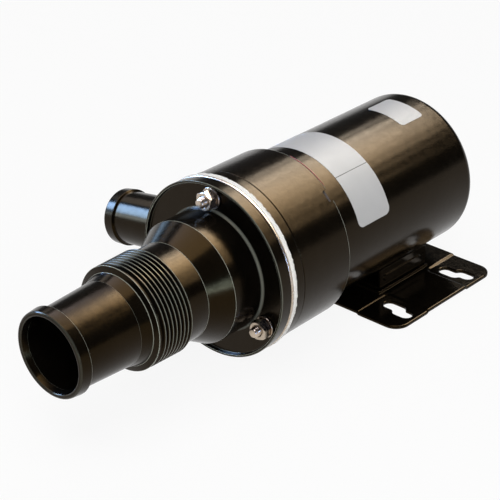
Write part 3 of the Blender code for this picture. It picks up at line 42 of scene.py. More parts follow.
# Studs, with the angle of one corner of each nut
STUD_CIRCLE = 33.3
STUD_ANGLES = (90, 210, 330)
STUD_RADIUS = 2.5
STUD_HOLE_RADIUS = 2.8
STUD_TIP = -107.9
STUD_REAR = -70.0
STUD_THREAD_ROOT = 1.95
STUD_THREAD_DEPTH = 0.32
STUD_THREAD_PITCH = 0.8
STUD_THREAD_ROWS_PER_TURN = 8
NUT_WIDTH = 7.8
NUT_FRONT = -105.2
NUT_REAR = -101.2
NUT_BORE = 2.3
NUT_SINK = 0.45
NUT_END_STEP = 0.15
NUT_CORNERS = (33.75, 45.0, 15.0)

# Thread on the inlet
THREAD_START = -153.35
THREAD_END = -135.9
THREAD_PITCH = 2.08
THREAD_PHASE = 0.73
THREAD_DEPTH = 1.35
THREAD_ROOT = (21.55, 21.85)
THREAD_ROWS_PER_TURN = 16
THREAD_FADE_IN = 0.8
THREAD_FADE_OUT = 0.7
NECK_RADIUS = 21.6

# Wear plate
WEAR_FRONT = -95.6
WEAR_REAR = -94.4
WEAR_RADIUS = 39.75
WEAR_BORE = 5.2
PORT_COUNT = 8
PORT_RADIUS = 2.6
PORT_CIRCLE = 10.5

# Gasket, and the angle at which it stands out most
GASKET_FRONT = -94.1
GASKET_THICK = 2.0
GASKET_INNER = 29.2
GASKET_FULL_ANGLE = 105
GASKET_COLUMNS = 720
GASKET_SEED = 7

# Impeller cover
COVER_FRONT = -91.8
COVER_REAR = -86.8
COVER_RADIUS = 39.1
COVER_BORE = 13.0

# Pump body, with the weep notch in its rear edge
BODY_RADIUS = 38.9
NOTCH_WIDTH = 5.5
NOTCH_ANGLE = 134.5
NOTCH_FRONT = -59.8
NOTCH_ROUND = 0.9

# Discharge barb
DISCHARGE_STATION = -71.6
DISCHARGE_TILT = 9.5
DISCHARGE_REACH = 86.1
DISCHARGE_BORE = 9.0
DISCHARGE_MOUTH = 10.6
DISCHARGE_PORT = 6.0
DISCHARGE_PORT_SHIFT = -2.0
BARB_START = 34.0
BARB_ROOT_RADIUS = 12.7
BARB_FOOT = 1.6
BARB_SUNK = 0.04

# Line of sealant above the weep notch
SEAL_STATION = -56.78
SEAL_RADIUS = 38.66
SEAL_ANGLES = (97.0, 128.5)
SEAL_SIZE = 0.23

# The can's holes for tie bolts, with their bosses, and for the leads: distance from the axis, and angle
TIE_CIRCLE = 29.6
TIE_ANGLES = (90, 270)
TIE_HOLE_RADIUS = 2.3
BOSS_RADIUS = 4.6
LEAD_PLACE = (19.4, 235)
LEAD_HOLE_RADIUS = 3.8

# Bare sheets on the can: name, look, first and last station, first and last angle, radius of the
# corners, and how far the two faces stand off the can
SHEETS = (
    ("motor_label", "label", (-45.6, -24.6, 55.0, 165.0), 3.0, (0.01, 0.10)),
    ("label_rule", "ink", (-45.6, -24.6, 125.15, 125.75), 0.05, (0.09, 0.11)),
    ("rear_sticker", "label", (9.0, 24.5, 79.4, 113.0), 2.0, (0.01, 0.10)),
)
SHEET_CORNER_STEPS = 8
SHEET_STEP = 1.5

# Base plate
PLATE_LENGTH = 72.0
PLATE_WIDTH = 98.8
PLATE_SHEET = 1.5
PLATE_CORNER = 7.0
PLATE_EDGE_ROUND = 0.7
PLATE_LOWER_ROUND = 0.25
MIDDLE_RAISE = 1.6
MIDDLE_REACH = (17.8, 24.0)
MIDDLE_RAMP = 0.6
CROSS_RAISE = 0.62
CROSS_REACH = (13.6, 25.6)
CROSS_RAMP = 1.6
CROSS_CORNER = 3.6
PRESS_STEP = 0.15
SLOT_RADIUS = 2.95
SLOT_FILLET = 1.5
# Each slot's two lobes, inner and outer: distance across, and how far out the centres of their ends lie
SLOT_LOBES = ((20.8, 32.9, 38.1), (23.2, 39.9, 43.6))

# Stations of the screws between cradle and can, and their holes
BASE_SCREWS = (-10.0, 10.0)
SCREW_HOLE_RADIUS = 2.3
PLATE_HOLE_RADIUS = 3.9

# Cradle, with the long bead of each wall
CRADLE_LENGTH = 34.0
CRADLE_HALF_WIDTH = 24.0
CRADLE_SHEET = 1.3
CRADLE_BEND = 2.0
CRADLE_GAP = 0.3
CRADLE_EDGE_ROUND = 0.45
BEAD_ENDS = (-12.9, 10.9)
BEAD_HEIGHT = 7.3
BEAD_RADIUS = 1.6
BEAD_HOLLOW_RADIUS = 1.0
BEAD_RISE = 0.6
BEAD_SUNK = 0.5

# The photograph's camera: its three directions, its place, and its focal length on a sensor of 36 mm
CAMERA_RIGHT = Vector((0.67308, -0.73948, -0.01138))
CAMERA_UP = Vector((0.35656, 0.31099, 0.88099))
CAMERA_AHEAD = Vector((0.64793, 0.59704, -0.47300))
CAMERA_PLACE = Vector((-548.96, -434.57, 383.03))
CAMERA_LENS = 122.45
CAMERA_SENSOR = 36.0
CAMERA_CLIP = 0.01

# Floor: height in millimetres, reach in metres, and how much of it is even glow where it is looked at
FLOOR_Z = -1.8
FLOOR_REACH = 40.0
FLOOR_GLOW = 0.9

# World: its strength, and the elevations between which its white band above the floor fades in gloss
WORLD_STRENGTH = 0.08
BAND_ELEVATIONS = (2, 6)

# What every lamp faces
LIGHT_TARGET = Vector((-0.07, 0.0, 0.04))
# Azimuth, elevation, width in metres and radiance of each strip of the key light
KEY_STRIPS = (
    (31.5, 42.0, 0.28, 8.0),
    (23.0, 46.2, 0.46, 15.5),
    (13.0, 49.8, 0.62, 18.0),
    (0.0, 51.1, 0.68, 21.5),
    (-13.0, 49.8, 0.62, 18.0),
    (-24.0, 46.9, 0.55, 13.5),
    (-33.5, 42.1, 0.55, 7.0),
    (-42.0, 34.1, 0.62, 5.0),
)
KEY_DISTANCE = 4.0
KEY_HEIGHT = 1.3
KEY_TINT = (1.0, 0.94, 0.83)
# Name, azimuth, elevation, size in metres and radiance of the other lamps that show in gloss
SOFTBOXES = (
    ("ceiling", 90, 78, (1.5, 1.5), (4.6, 4.6, 5.4)),
    ("window", 114, 24, (0.58, 0.38), (17, 33, 70)),
    ("back_glow", 78, 32, (0.50, 0.22), (2.0, 1.9, 1.8)),
    ("window_low", 129, 11, (0.34, 0.24), (8.0, 11.0, 15.0)),
    ("window_edge", 80, 14, (0.14, 0.30), (2.0, 3.2, 4.8)),
    ("side_strip", -108, 6, (0.13, 0.30), (15.0, 27.0, 62.0)),
)
SOFTBOX_DISTANCE = 1.3
# The same of the lamps that light matt surfaces
FILLS = (
    ("fill_top", 180, 80, (1.3, 1.3), (2.2, 2.2, 2.15)),
    ("fill_front", -125, 32, (1.1, 1.1), (3.0, 3.0, 3.0)),
    ("fill_back", 50, 35, (0.9, 0.9), (1.0, 1.0, 1.05)),
)
FILL_DISTANCE = 1.4

# Black of the mouldings and the enamel, and the brownish tint of their gloss
DEEP_BLACK = (0.003, 0.0026, 0.002)
GLOSS_TINT = (1.0, 0.60, 0.19)


def link(name, mesh):
    item = bpy.data.objects.new(name, mesh)
    bpy.context.collection.objects.link(item)
    return item


def shade(mesh, degrees=SHARP_ANGLE):
    mesh.shade_smooth()
    mesh.set_sharp_from_angle(angle=math.radians(degrees))


def solid(name, points, faces, edge=None, degrees=SHARP_ANGLE):
    """Makes a closed mesh with outward normals; edge is how strongly each point's edge line is painted
    light, a painted highlight.
    """
    mesh = bpy.data.meshes.new(name)
    mesh.from_pydata([tuple(np.array(point) * MM) for point in points], [], faces)
    # Each point's painted edge highlight is kept as the mesh attribute edge
    if edge is not None:
        layer = mesh.attributes.new("edge", "FLOAT", "POINT")
        layer.data.foreach_set("value", np.asarray(edge, dtype=np.float32))
    bm = bmesh.new()
    bm.from_mesh(mesh)
    bmesh.ops.remove_doubles(bm, verts=bm.verts, dist=1e-7)
    bmesh.ops.recalc_face_normals(bm, faces=bm.faces)
    bm.to_mesh(mesh)
    bm.free()
    shade(mesh, degrees)
    return link(name, mesh)


def soften(corners, steps=5):
    """Rounds the corners (station, radius, round, paleness) of a closed profile. The paleness is a
    painted highlight along the rounded edge, strongest at the middle of its arc.
    """
    rows = []
    count = len(corners)
    for index, corner in enumerate(corners):
        x, r, size = corner[:3]
        painted_highlight = corner[3] if len(corner) > 3 else 0.0
        if size <= 0:
            rows.append((x, r, 0.0))
            continue
        here = np.array((x, r), dtype=float)
        back = np.array(corners[index - 1][:2]) - here
        ahead = np.array(corners[(index + 1) % count][:2]) - here
        limit = 0.48 * min(np.linalg.norm(back), np.linalg.norm(ahead))
        back = back / np.linalg.norm(back)
        ahead = ahead / np.linalg.norm(ahead)
        half = math.acos(max(-1.0, min(1.0, float(back @ ahead)))) / 2
        reach = min(size / math.tan(half), limit)
        size = reach * math.tan(half)
        middle = back + ahead
        centre = here + middle / np.linalg.norm(middle) * size / math.sin(half)
        start = here + back * reach - centre
        end = here + ahead * reach - centre
        sweep = math.atan2(start[0] * end[1] - start[1] * end[0], float(start @ end))
        for step in range(steps + 1):
            turn = sweep * step / steps
            c, s = math.cos(turn), math.sin(turn)
            x = centre[0] + c * start[0] - s * start[1]
            r = centre[1] + s * start[0] + c * start[1]
            rows.append((x, r, painted_highlight * math.sin(math.pi * step / steps)))
    return rows


def lathe(name, rows, columns=COLUMNS, centre=(0.0, 0.0), degrees=SHARP_ANGLE):
    """Turns a closed loop of rows about X. A row's station and radius may vary with the column, and its
    third value is the strength of the painted highlight on its edge line.
    """
    angles = np.arange(columns) * math.tau / columns
    points = []
    edge = []
    for x, r, painted_highlight in rows:
        station = np.broadcast_to(x, columns)
        radius = np.broadcast_to(r, columns)
        points.append(np.stack([station, centre[0] + radius * np.cos(angles),
                                AXIS_Z + centre[1] + radius * np.sin(angles)], axis=1))
        edge.append(np.broadcast_to(painted_highlight, columns))
    points = np.concatenate(points)
    faces = []
    count = len(rows)
    on_axis = [np.max(row[1]) < 1e-6 for row in rows]
    for i in range(count):
        k = (i + 1) % count
        if on_axis[i] and on_axis[k]:
            continue
        for j in range(columns):
            m = (j + 1) % columns
            faces.append((i * columns + j, k * columns + j, k * columns + m, i * columns + m))
    return solid(name, points, faces, np.concatenate(edge), degrees)


def loft(name, low, high):
    """Closed solid between two outlines of three-dimensional points with equal counts."""
    count = len(low)
    sides = [(i, (i + 1) % count, count + (i + 1) % count, count + i) for i in range(count)]
    faces = [tuple(range(count))[::-1], tuple(range(count, 2 * count))] + sides
    return solid(name, list(low) + list(high), faces)


def along_z(outline, z):
    return [(x, y, z) for x, y in outline]


def along_y(outline, y):
    return [(x, y, z) for x, z in outline]


def along_x(outline, x):
    return [(x, y, z) for y, z in outline]


def polar(radius, degrees):
    return (radius * math.cos(math.radians(degrees)), radius * math.sin(math.radians(degrees)))


def arc(centre, radius, start, end, steps):
    turns = [start + (end - start) * step / steps for step in range(steps + 1)]
    return [(centre[0] + polar(radius, turn)[0], centre[1] + polar(radius, turn)[1]) for turn in turns]


def circle(centre, radius, steps=48):
    """Closed circle of points, turned a little so that none of them lies on an axis."""
    return arc(centre, radius, 0.7, 360.7, steps)[:-1]


def rod(name, radius, centre, start, end, steps=48):
    """Round bar along X, about a point beside the pump's axis."""
    outline = circle((centre[0], AXIS_Z + centre[1]), radius, steps)
    return loft(name, along_x(outline, start), along_x(outline, end))


def settle(item, degrees=SHARP_ANGLE):
    """Replaces the object's mesh by what its modifiers make of it."""
    graph = bpy.context.evaluated_depsgraph_get()
    mesh = bpy.data.meshes.new_from_object(item.evaluated_get(graph))
    item.modifiers.clear()
    item.data = mesh
    shade(mesh, degrees)
    return item


def carve(item, tools, operation="DIFFERENCE", degrees=SHARP_ANGLE):
    """Cuts the tools out of the object, or joins them on, and removes them."""
    for tool in tools:
        change = item.modifiers.new(tool.name, "BOOLEAN")
        change.operation = operation
        change.solver = "EXACT"
        change.object = tool
    settle(item, degrees)
    for tool in tools:
        bpy.data.objects.remove(tool, do_unlink=True)
    return item


def bevel(item, width, segments=3):
    """Rounds the sharp edges, or the weighted ones if the mesh has weights."""
    weighted = "bevel_weight_edge" in item.data.attributes
    change = item.modifiers.new("bevel", "BEVEL")
    change.width = width * MM
    change.segments = segments
    change.limit_method = "WEIGHT" if weighted else "ANGLE"
    change.angle_limit = math.radians(BEVEL_ANGLE)
    change.use_clamp_overlap = not weighted
    return settle(item, 60)


def clear_painted_highlight(item, station):
    """Takes the painted edge highlight off all that lies in front of the given station."""
    for vert, value in zip(item.data.vertices, item.data.attributes["edge"].data):
        if vert.co.x < station * MM:
            value.value = 0.0


def stud_centres():
    return [polar(STUD_CIRCLE, angle) for angle in STUD_ANGLES]


def stud_tools(start, end):
    return [rod(f"stud_tool_{index}", STUD_HOLE_RADIUS, centre, start, end)
            for index, centre in enumerate(stud_centres())]


def thread_rows(start, end, pitch, phase, depth, roots, neck, per_turn, fade_in, fade_out,
                columns=COLUMNS):
    """Rows of a helical thread with slightly flat crests, which fades in and out at its ends. Each crest
    gets a light line painted along it as a painted highlight.
    """
    angles = np.arange(columns) / columns
    rows = []
    count = int((end - start) / pitch * per_turn)
    for index in range(count + 1):
        x = start + (end - start) * index / count
        share = index / count
        root = roots[0] + (roots[1] - roots[0]) * share
        wave = 0.5 + 0.5 * np.cos(math.tau * (x / pitch - angles - phase))
        # A tooth is a little fuller than a wave
        tooth = np.minimum(1.0, 1.06 * wave ** 0.75)
        rise = min(1.0, (x - start) / fade_in) ** 2
        fall = min(1.0, (end - x) / fade_out)
        radius = root + depth * tooth * rise
        # Painted highlight: a light line along the middle of each crest, strongest where the thread is
        # full
        painted_highlight = 0.50 * np.clip((wave * rise * fall - 0.86) / 0.12, 0.0, 1.0)
        rows.append((x, neck + (radius - neck) * fall, painted_highlight))
    return rows


def make_inlet_housing():
    """Hose barb, threaded stretch, cone, chopper chamber and dished flange disc."""
    # A corner's fourth value is how strongly a light line is painted along its rounded edge, a painted
    # highlight
    before = [
        (-192.2, 18.4, 1.1, 0.1),
        (-187.0, 19.0, 0.35, 0.75),
        (-186.4, 17.4, 0.3),
        (-160.6, 18.6, 0.6, 0.25),
        (-155.5, 20.1, 0.4, 0.8),
        (-154.75, 22.85, 0.30, 1.0),
        (-154.05, 22.85, 0.20, 0.3),
        (-153.8, NECK_RADIUS, 0.1),
        (THREAD_START, THREAD_ROOT[0], 0.0),
    ]
    after = [
        (THREAD_END, NECK_RADIUS, 0.0),
        (-125.5, NECK_RADIUS, 0.5, 0.7),
        (-115.6, 27.3, 0.5, 1.0),
        (-99.7, 27.3, 1.2, 0.35),
        (-99.7, 38.3, 0.45, 0.1),
        (-101.4, 38.75, 0.35, 1.0),
        (-101.4, 39.8, 0.45, 0.35),
        (-95.9, 39.6, 0.15),
        (-95.9, 26.6, 0.0),
        (-97.3, 26.6, 0.0),
        (-97.3, 24.6, 0.0),
        (-95.9, 24.6, 0.0),
        (-95.9, 23.5, 0.2),
        (-113.0, 23.5, 0.6),
        (-122.9, 15.5, 1.0),
        (-189.3, 15.5, 0.2, 0.35),
        (-192.2, 16.5, 0.8, 0.1),
    ]
    rows = soften(before + after)
    start = next(i for i, row in enumerate(rows) if abs(row[0] - THREAD_START) < 1e-9)
    thread = thread_rows(THREAD_START, THREAD_END, THREAD_PITCH, THREAD_PHASE, THREAD_DEPTH, THREAD_ROOT,
                         NECK_RADIUS, THREAD_ROWS_PER_TURN, THREAD_FADE_IN, THREAD_FADE_OUT)
    # The thread takes the place of the two rows at its ends
    housing = lathe("inlet_housing_fine", rows[:start] + thread + rows[start + 2:])
    return carve(housing, stud_tools(-102.5, -95.0))


def make_wear_plate():
    """Thin disc with a ring of round ports."""
    rows = soften([
        (WEAR_FRONT, WEAR_BORE, 0.1),
        (WEAR_FRONT, WEAR_RADIUS, 0.4),
        (WEAR_REAR, WEAR_RADIUS, 0.4),
        (WEAR_REAR, WEAR_BORE, 0.1),
    ])
    plate = lathe("wear_plate_fine", rows, 144)
    reach = (WEAR_FRONT - 1, WEAR_REAR + 1)
    places = [polar(PORT_CIRCLE, 360 / PORT_COUNT * index) for index in range(PORT_COUNT)]
    ports = [rod("port_tool", PORT_RADIUS, place, *reach, 32) for place in places]
    return carve(plate, ports + stud_tools(*reach))


def make_gasket():
    """Fibre gasket whose cut edge is thicker at the top and frays a little all round."""
    columns = GASKET_COLUMNS
    rng = np.random.default_rng(GASKET_SEED)
    angles = np.arange(columns) * math.tau / columns
    top = np.exp(-((angles - math.radians(GASKET_FULL_ANGLE)) / 0.9) ** 2)
    front_reach = 0.02 + 0.10 * top
    rear_reach = 0.02 + 0.12 * top

    def ragged(size, smooth):
        values = rng.normal(0.0, 1.0, columns)
        kernel = np.ones(smooth) / smooth
        return size * np.convolve(np.concatenate([values, values[:smooth]]), kernel, "same")[:columns]

    rows = [(GASKET_FRONT, GASKET_INNER, 0.0), (GASKET_FRONT, 39.2, 0.0)]
    for share in (0.0, 0.2, 0.4, 0.6, 0.8, 1.0):
        bulge = 1 - (2 * share - 1) ** 2
        width = GASKET_THICK + front_reach + rear_reach
        station = GASKET_FRONT - front_reach + share * width + share * ragged(0.22, 3)
        radius = 39.62 + 0.22 * bulge + 0.08 * top + ragged(0.14, 4) + ragged(0.08, 17)
        rows.append((station, np.minimum(39.98, radius), 0.0))
    rear = GASKET_FRONT + GASKET_THICK
    rows += [(rear, 39.0, 0.0), (rear, GASKET_INNER, 0.0)]
    gasket = lathe("cover_gasket_fine", rows, columns, degrees=60)
    return carve(gasket, stud_tools(-95.0, -91.2), degrees=60)


def make_cover():
    rows = soften([
        (COVER_FRONT, COVER_BORE, 0.3),
        (COVER_FRONT, COVER_RADIUS, 0.35, 0.1),
        (COVER_REAR, COVER_RADIUS, 0.3),
        (COVER_REAR, COVER_BORE, 0.3),
    ])
    return carve(lathe("impeller_cover_fine", rows), stud_tools(COVER_FRONT - 1, COVER_REAR + 1))


def discharge_matrix():
    """Moves what is turned about the pump's axis onto the axis of the discharge barb."""
    lower = Matrix.Translation((0, 0, -AXIS_Z * MM))
    aside = Matrix.Rotation(math.radians(90), 4, "Z")
    tilt = Matrix.Rotation(math.radians(-DISCHARGE_TILT), 4, "X")
    place = Matrix.Translation((DISCHARGE_STATION * MM, 0, AXIS_Z * MM))
    return place @ tilt @ aside @ lower


def make_discharge_form():
    """Outside of the discharge barb, with a foot that follows the round pump body."""
    columns = 144
    angles = np.arange(columns) * math.tau / columns
    # Along its own axis the barb's width across the pump lies at 90 degrees
    across = np.sin(angles)

    def body_height(radius):
        return np.sqrt(BODY_RADIUS ** 2 - (radius * across) ** 2)

    foot = []
    steps = 6
    for step in range(steps + 1):
        turn = math.pi / 2 * step / steps
        radius = BARB_ROOT_RADIUS + BARB_FOOT * (1 - math.sin(turn))
        rise = BARB_FOOT * (1 - math.cos(turn))
        foot.append((body_height(radius) - BARB_SUNK + rise, radius, 0.0))
    tip = DISCHARGE_REACH
    # The second corner only gives the barb its slope, and the foot takes its place
    outer = soften([
        (BARB_START, 0.0, 0.0),
        (42.0, 12.65, 0.0),
        (tip - 7.1, 12.2, 0.25),
        (tip - 6.5, 13.2, 0.45, 0.0),
        (tip - 1.1, 12.9, 0.9, 0.1),
        (tip, 11.6, 0.6, 0.2),
        (tip, 0.0, 0.0),
    ])
    rows = [outer[0], (BARB_START, BARB_ROOT_RADIUS + BARB_FOOT, 0.0)] + foot + outer[2:]
    barb = lathe("discharge_form", rows, columns)
    barb.data.transform(discharge_matrix())
    return barb


def discharge_tool(name, radii, start, end, shift=0.0, columns=64):
    """Round tool along the discharge barb, with one radius at its start and one at its end. The shift
    moves it along the pump."""
    rows = [(start, 0.0, 0.0), (start, radii[0], 0.0), (end, radii[1], 0.0), (end, 0.0, 0.0)]
    tool = lathe(name, rows, columns)
    tool.data.transform(Matrix.Translation((shift * MM, 0, 0)) @ discharge_matrix())
    return tool


def make_pump_body():
    """Impeller chamber, motor skirt with its weep notch, and the discharge barb."""
    rows = soften([
        (-86.5, 29.9, 0.0),
        (-86.5, BODY_RADIUS, 0.35),
        (-56.6, 38.7, 0.8, 1.0),
        (-56.6, 36.9, 0.1),
        (-58.0, 36.9, 0.0),
        (-58.0, 35.8, 0.0),
        (-61.0, 35.8, 0.0),
        (-61.0, 9.3, 0.0),
        (-64.5, 9.3, 0.0),
        (-64.5, 6.0, 0.0),
        (-65.5, 6.0, 0.0),
        (-65.5, 27.5, 0.5),
        (-86.5, 27.5, 0.2),
        (-86.5, 27.9, 0.0),
        (-85.1, 27.9, 0.0),
        (-85.1, 29.9, 0.0),
    ])
    body = lathe("pump_body_fine", rows)
    carve(body, [make_discharge_form()], "UNION")
    bore = DISCHARGE_BORE
    port = DISCHARGE_PORT
    tip = DISCHARGE_REACH
    tools = [
        discharge_tool("bore_tool", (bore, bore), 33.5, tip + 1),
        discharge_tool("mouth_tool", (bore, DISCHARGE_MOUTH), tip - 2.2, tip + 0.6, columns=96),
        discharge_tool("port_tool", (port, port), 21.5, BARB_START, DISCHARGE_PORT_SHIFT),
    ]
    tools += stud_tools(-87.5, STUD_REAR + 0.3)
    half = NOTCH_WIDTH / 2
    outline = [(34.8, -half), (39.9, -half), (39.9, half), (34.8, half)]
    notch = loft("notch_tool", along_x(outline, NOTCH_FRONT), along_x(outline, -55.6))
    notch.data.transform(Matrix.Rotation(math.radians(NOTCH_ANGLE), 4, "X"))
    notch.data.transform(Matrix.Translation((0, 0, AXIS_Z * MM)))
    bevel(notch, NOTCH_ROUND)
    carve(body, tools + [notch])
    # Only the rear edge keeps its painted highlight line
    clear_painted_highlight(body, -58.5)
    return body


def make_can():
    """Drawn can with a rounded closed end and a shallow pressed ring round the rear bearing's cup."""
    rows = soften([
        (36.4, 0.0, 0.0),
        (36.4, 12.6, 0.6),
        (35.9, 13.3, 0.5),
        (35.9, 15.2, 0.5),
        (36.4, 15.9, 0.6),
        (36.4, CAN_RADIUS, 4.5),
        (-58.2, CAN_RADIUS, 0.25),
        (-58.2, 33.9, 0.1),
        (34.8, 33.9, 2.9),
        (34.8, 12.9, 0.0),
        (27.0, 12.9, 0.2),
        (27.0, 11.3, 0.2),
        (34.8, 11.3, 0.0),
        (34.8, 0.0, 0.0),
    ], steps=8)
    can = lathe("motor_can_fine", rows)
    ties = [polar(TIE_CIRCLE, angle) for angle in TIE_ANGLES]
    carve(can, [rod("boss_tool", BOSS_RADIUS, tie, 26.8, 35.4) for tie in ties], "UNION")
    tools = [rod("tie_tool", TIE_HOLE_RADIUS, tie, 26.0, 33.3) for tie in ties]
    tools.append(rod("lead_tool", LEAD_HOLE_RADIUS, polar(*LEAD_PLACE), 34.0, 37.0))
    for index, x in enumerate(BASE_SCREWS):
        hole = circle((x, 0.0), SCREW_HOLE_RADIUS)
        tools.append(loft(f"screw_tool_{index}", along_z(hole, 2.6), along_z(hole, 6.6)))
    return carve(can, tools)


def curved_sheet(name, start, end, low, high, corner, inner, outer):
    """Thin sheet on the can, with rounded corners: stations start to end, angles low to high."""
    reach = math.degrees(corner / CAN_RADIUS)
    straight = high - low - 2 * reach
    bends = [math.pi / 2 * step / SHEET_CORNER_STEPS for step in range(SHEET_CORNER_STEPS + 1)]
    turns = [low + reach * (1 - math.cos(bend)) for bend in bends]
    middle = max(2, int(straight / SHEET_STEP))
    turns += [low + reach + straight * step / middle for step in range(1, middle)]
    turns += [high - reach * (1 - math.sin(bend)) for bend in bends]
    across = 6
    points = []
    for radius in (inner, outer):
        for turn in turns:
            near = min(turn - low, high - turn)
            cut = 0.0
            if near < reach:
                cut = corner * (1 - math.sqrt(max(0.0, 1 - (1 - near / reach) ** 2)))
            for step in range(across + 1):
                x = start + cut + (end - start - 2 * cut) * step / across
                y, z = polar(radius, turn)
                points.append((x, y, AXIS_Z + z))
    wide = across + 1
    layer = len(turns) * wide
    faces = []
    for i in range(len(turns) - 1):
        for j in range(across):
            a = i * wide + j
            faces.append((a, a + 1, a + wide + 1, a + wide))
            faces.append((layer + a, layer + a + wide, layer + a + wide + 1, layer + a + 1))
    rim = [i * wide for i in range(len(turns))]
    rim += [(len(turns) - 1) * wide + j for j in range(1, wide)]
    rim += [i * wide + across for i in range(len(turns) - 2, -1, -1)]
    rim += list(range(across - 1, 0, -1))
    for a, b in zip(rim, rim[1:] + rim[:1]):
        faces.append((a, b, layer + b, layer + a))
    return solid(name, points, faces, degrees=40)


def make_stud(index, centre):
    """Stud with a rounded tip and a fine thread on its open end."""
    tip = STUD_TIP
    root = STUD_THREAD_ROOT
    columns = 40
    thread = thread_rows(tip + 0.7, tip + 9.1, STUD_THREAD_PITCH, 0.0, STUD_THREAD_DEPTH, (root, root),
                         root, STUD_THREAD_ROWS_PER_TURN, 0.3, 0.8, columns)
    points = [(tip, 0.0), (tip, 1.6), (tip + 0.08, 1.8), (tip + 0.25, 1.95), (tip + 0.6, 2.05)]
    points += [row[:2] for row in thread]
    points += [(tip + 9.2, STUD_RADIUS), (STUD_REAR, STUD_RADIUS), (STUD_REAR, 0.0)]
    rows = [(x, r, 0.0) for x, r in points]
    return lathe(f"stud_{index}_fine", rows, columns, centre)


def make_nut(index, centre):
    """Hexagon nut with turned-off ends and a countersunk hole."""
    columns = 96
    angles = np.arange(columns) * 360.0 / columns
    reach = NUT_WIDTH / 2 / np.cos(np.radians(np.mod(angles - NUT_CORNERS[index - 1], 60.0) - 30.0))
    flat = NUT_WIDTH / 2 - NUT_END_STEP
    fall = (reach - flat) * math.tan(math.radians(30))
    rows = [
        (NUT_FRONT, flat, 0.0),
        (NUT_FRONT + fall, reach, 0.0),
        (NUT_REAR - fall, reach, 0.0),
        (NUT_REAR, flat, 0.0),
        (NUT_REAR, NUT_BORE, 0.0),
        (NUT_FRONT + NUT_SINK, NUT_BORE, 0.0),
        (NUT_FRONT, NUT_BORE + NUT_SINK, 0.0),
    ]
    return lathe(f"stud_nut_{index}_fine", rows, columns, centre, 25)


def make_washer(index, centre):
    rows = soften([
        (-100.9, 2.8, 0.12),
        (-100.9, 4.8, 0.25),
        (-100.0, 4.8, 0.2),
        (-100.0, 2.8, 0.1),
    ], steps=4)
    return lathe(f"stud_washer_{index}_fine", rows, 64, centre)


def rounded_plate():
    x = PLATE_LENGTH / 2 - PLATE_CORNER
    y = PLATE_WIDTH / 2 - PLATE_CORNER
    outline = []
    for sx, sy, start in ((1, 1, 0), (-1, 1, 90), (-1, -1, 180), (1, -1, 270)):
        outline += arc((sx * x, sy * y), PLATE_CORNER, start, start + 90, 12)
    return outline


def slot_outline(sign_x, sign_y):
    """Two overlapping lobes with small fillets in the notches between them."""
    (inner, inner_near, inner_far), (outer, outer_near, outer_far) = SLOT_LOBES
    radius = SLOT_RADIUS
    reach = radius + SLOT_FILLET
    aside = reach - (outer - inner)
    rise = math.sqrt(reach ** 2 - aside ** 2)
    lean = math.degrees(math.atan2(rise, aside))
    outline = arc((inner, inner_near), radius, 180, 360, 14)
    outline += arc((inner + reach, outer_near - rise), SLOT_FILLET, 180, 180 - lean, 4)
    outline += arc((outer, outer_near), radius, -lean, 0, 5)
    outline += arc((outer, outer_far), radius, 0, 180, 14)
    outline += arc((outer - reach, inner_far + rise), SLOT_FILLET, 0, -lean, 4)
    outline += arc((inner, inner_far), radius, 180 - lean, 180, 5)
    return [(sign_x * x, sign_y * y) for x, y in outline]


def fade(share):
    """Falls smoothly from one to nothing as the share goes from nothing to one."""
    return 0.5 + 0.5 * math.cos(math.pi * min(1.0, max(0.0, share)))


def plate_rise(x, y):
    """How far the pressing lifts the sheet above its corner pads: a raised middle on a low cross."""
    middle = fade((abs(x) - MIDDLE_REACH[0]) / MIDDLE_RAMP)
    middle *= fade((abs(y) - MIDDLE_REACH[1]) / MIDDLE_RAMP)
    over_x = min(0.0, abs(x) - CROSS_REACH[0] - CROSS_CORNER)
    over_y = min(0.0, abs(y) - CROSS_REACH[1] - CROSS_CORNER)
    cross = fade((CROSS_CORNER - math.hypot(over_x, over_y)) / CROSS_RAMP)
    return CROSS_RAISE * cross + (MIDDLE_RAISE - CROSS_RAISE * cross) * middle


def press_planes():
    """Places and normals of the cuts that give the pressed ramps enough faces."""
    planes = []
    spans = (
        (CROSS_REACH[0], MIDDLE_REACH[0] + MIDDLE_RAMP),
        (MIDDLE_REACH[1], CROSS_REACH[1] + CROSS_CORNER),
    )
    for axis, (near, far) in enumerate(spans):
        count = round((far - near) / PRESS_STEP)
        for step in range(count + 1):
            for sign in (1, -1):
                place = [0.0, 0.0, 0.0]
                normal = [0.0, 0.0, 0.0]
                place[axis] = sign * (near + (far - near) * step / count) * MM
                normal[axis] = 1.0
                planes.append((place, normal))
    return planes


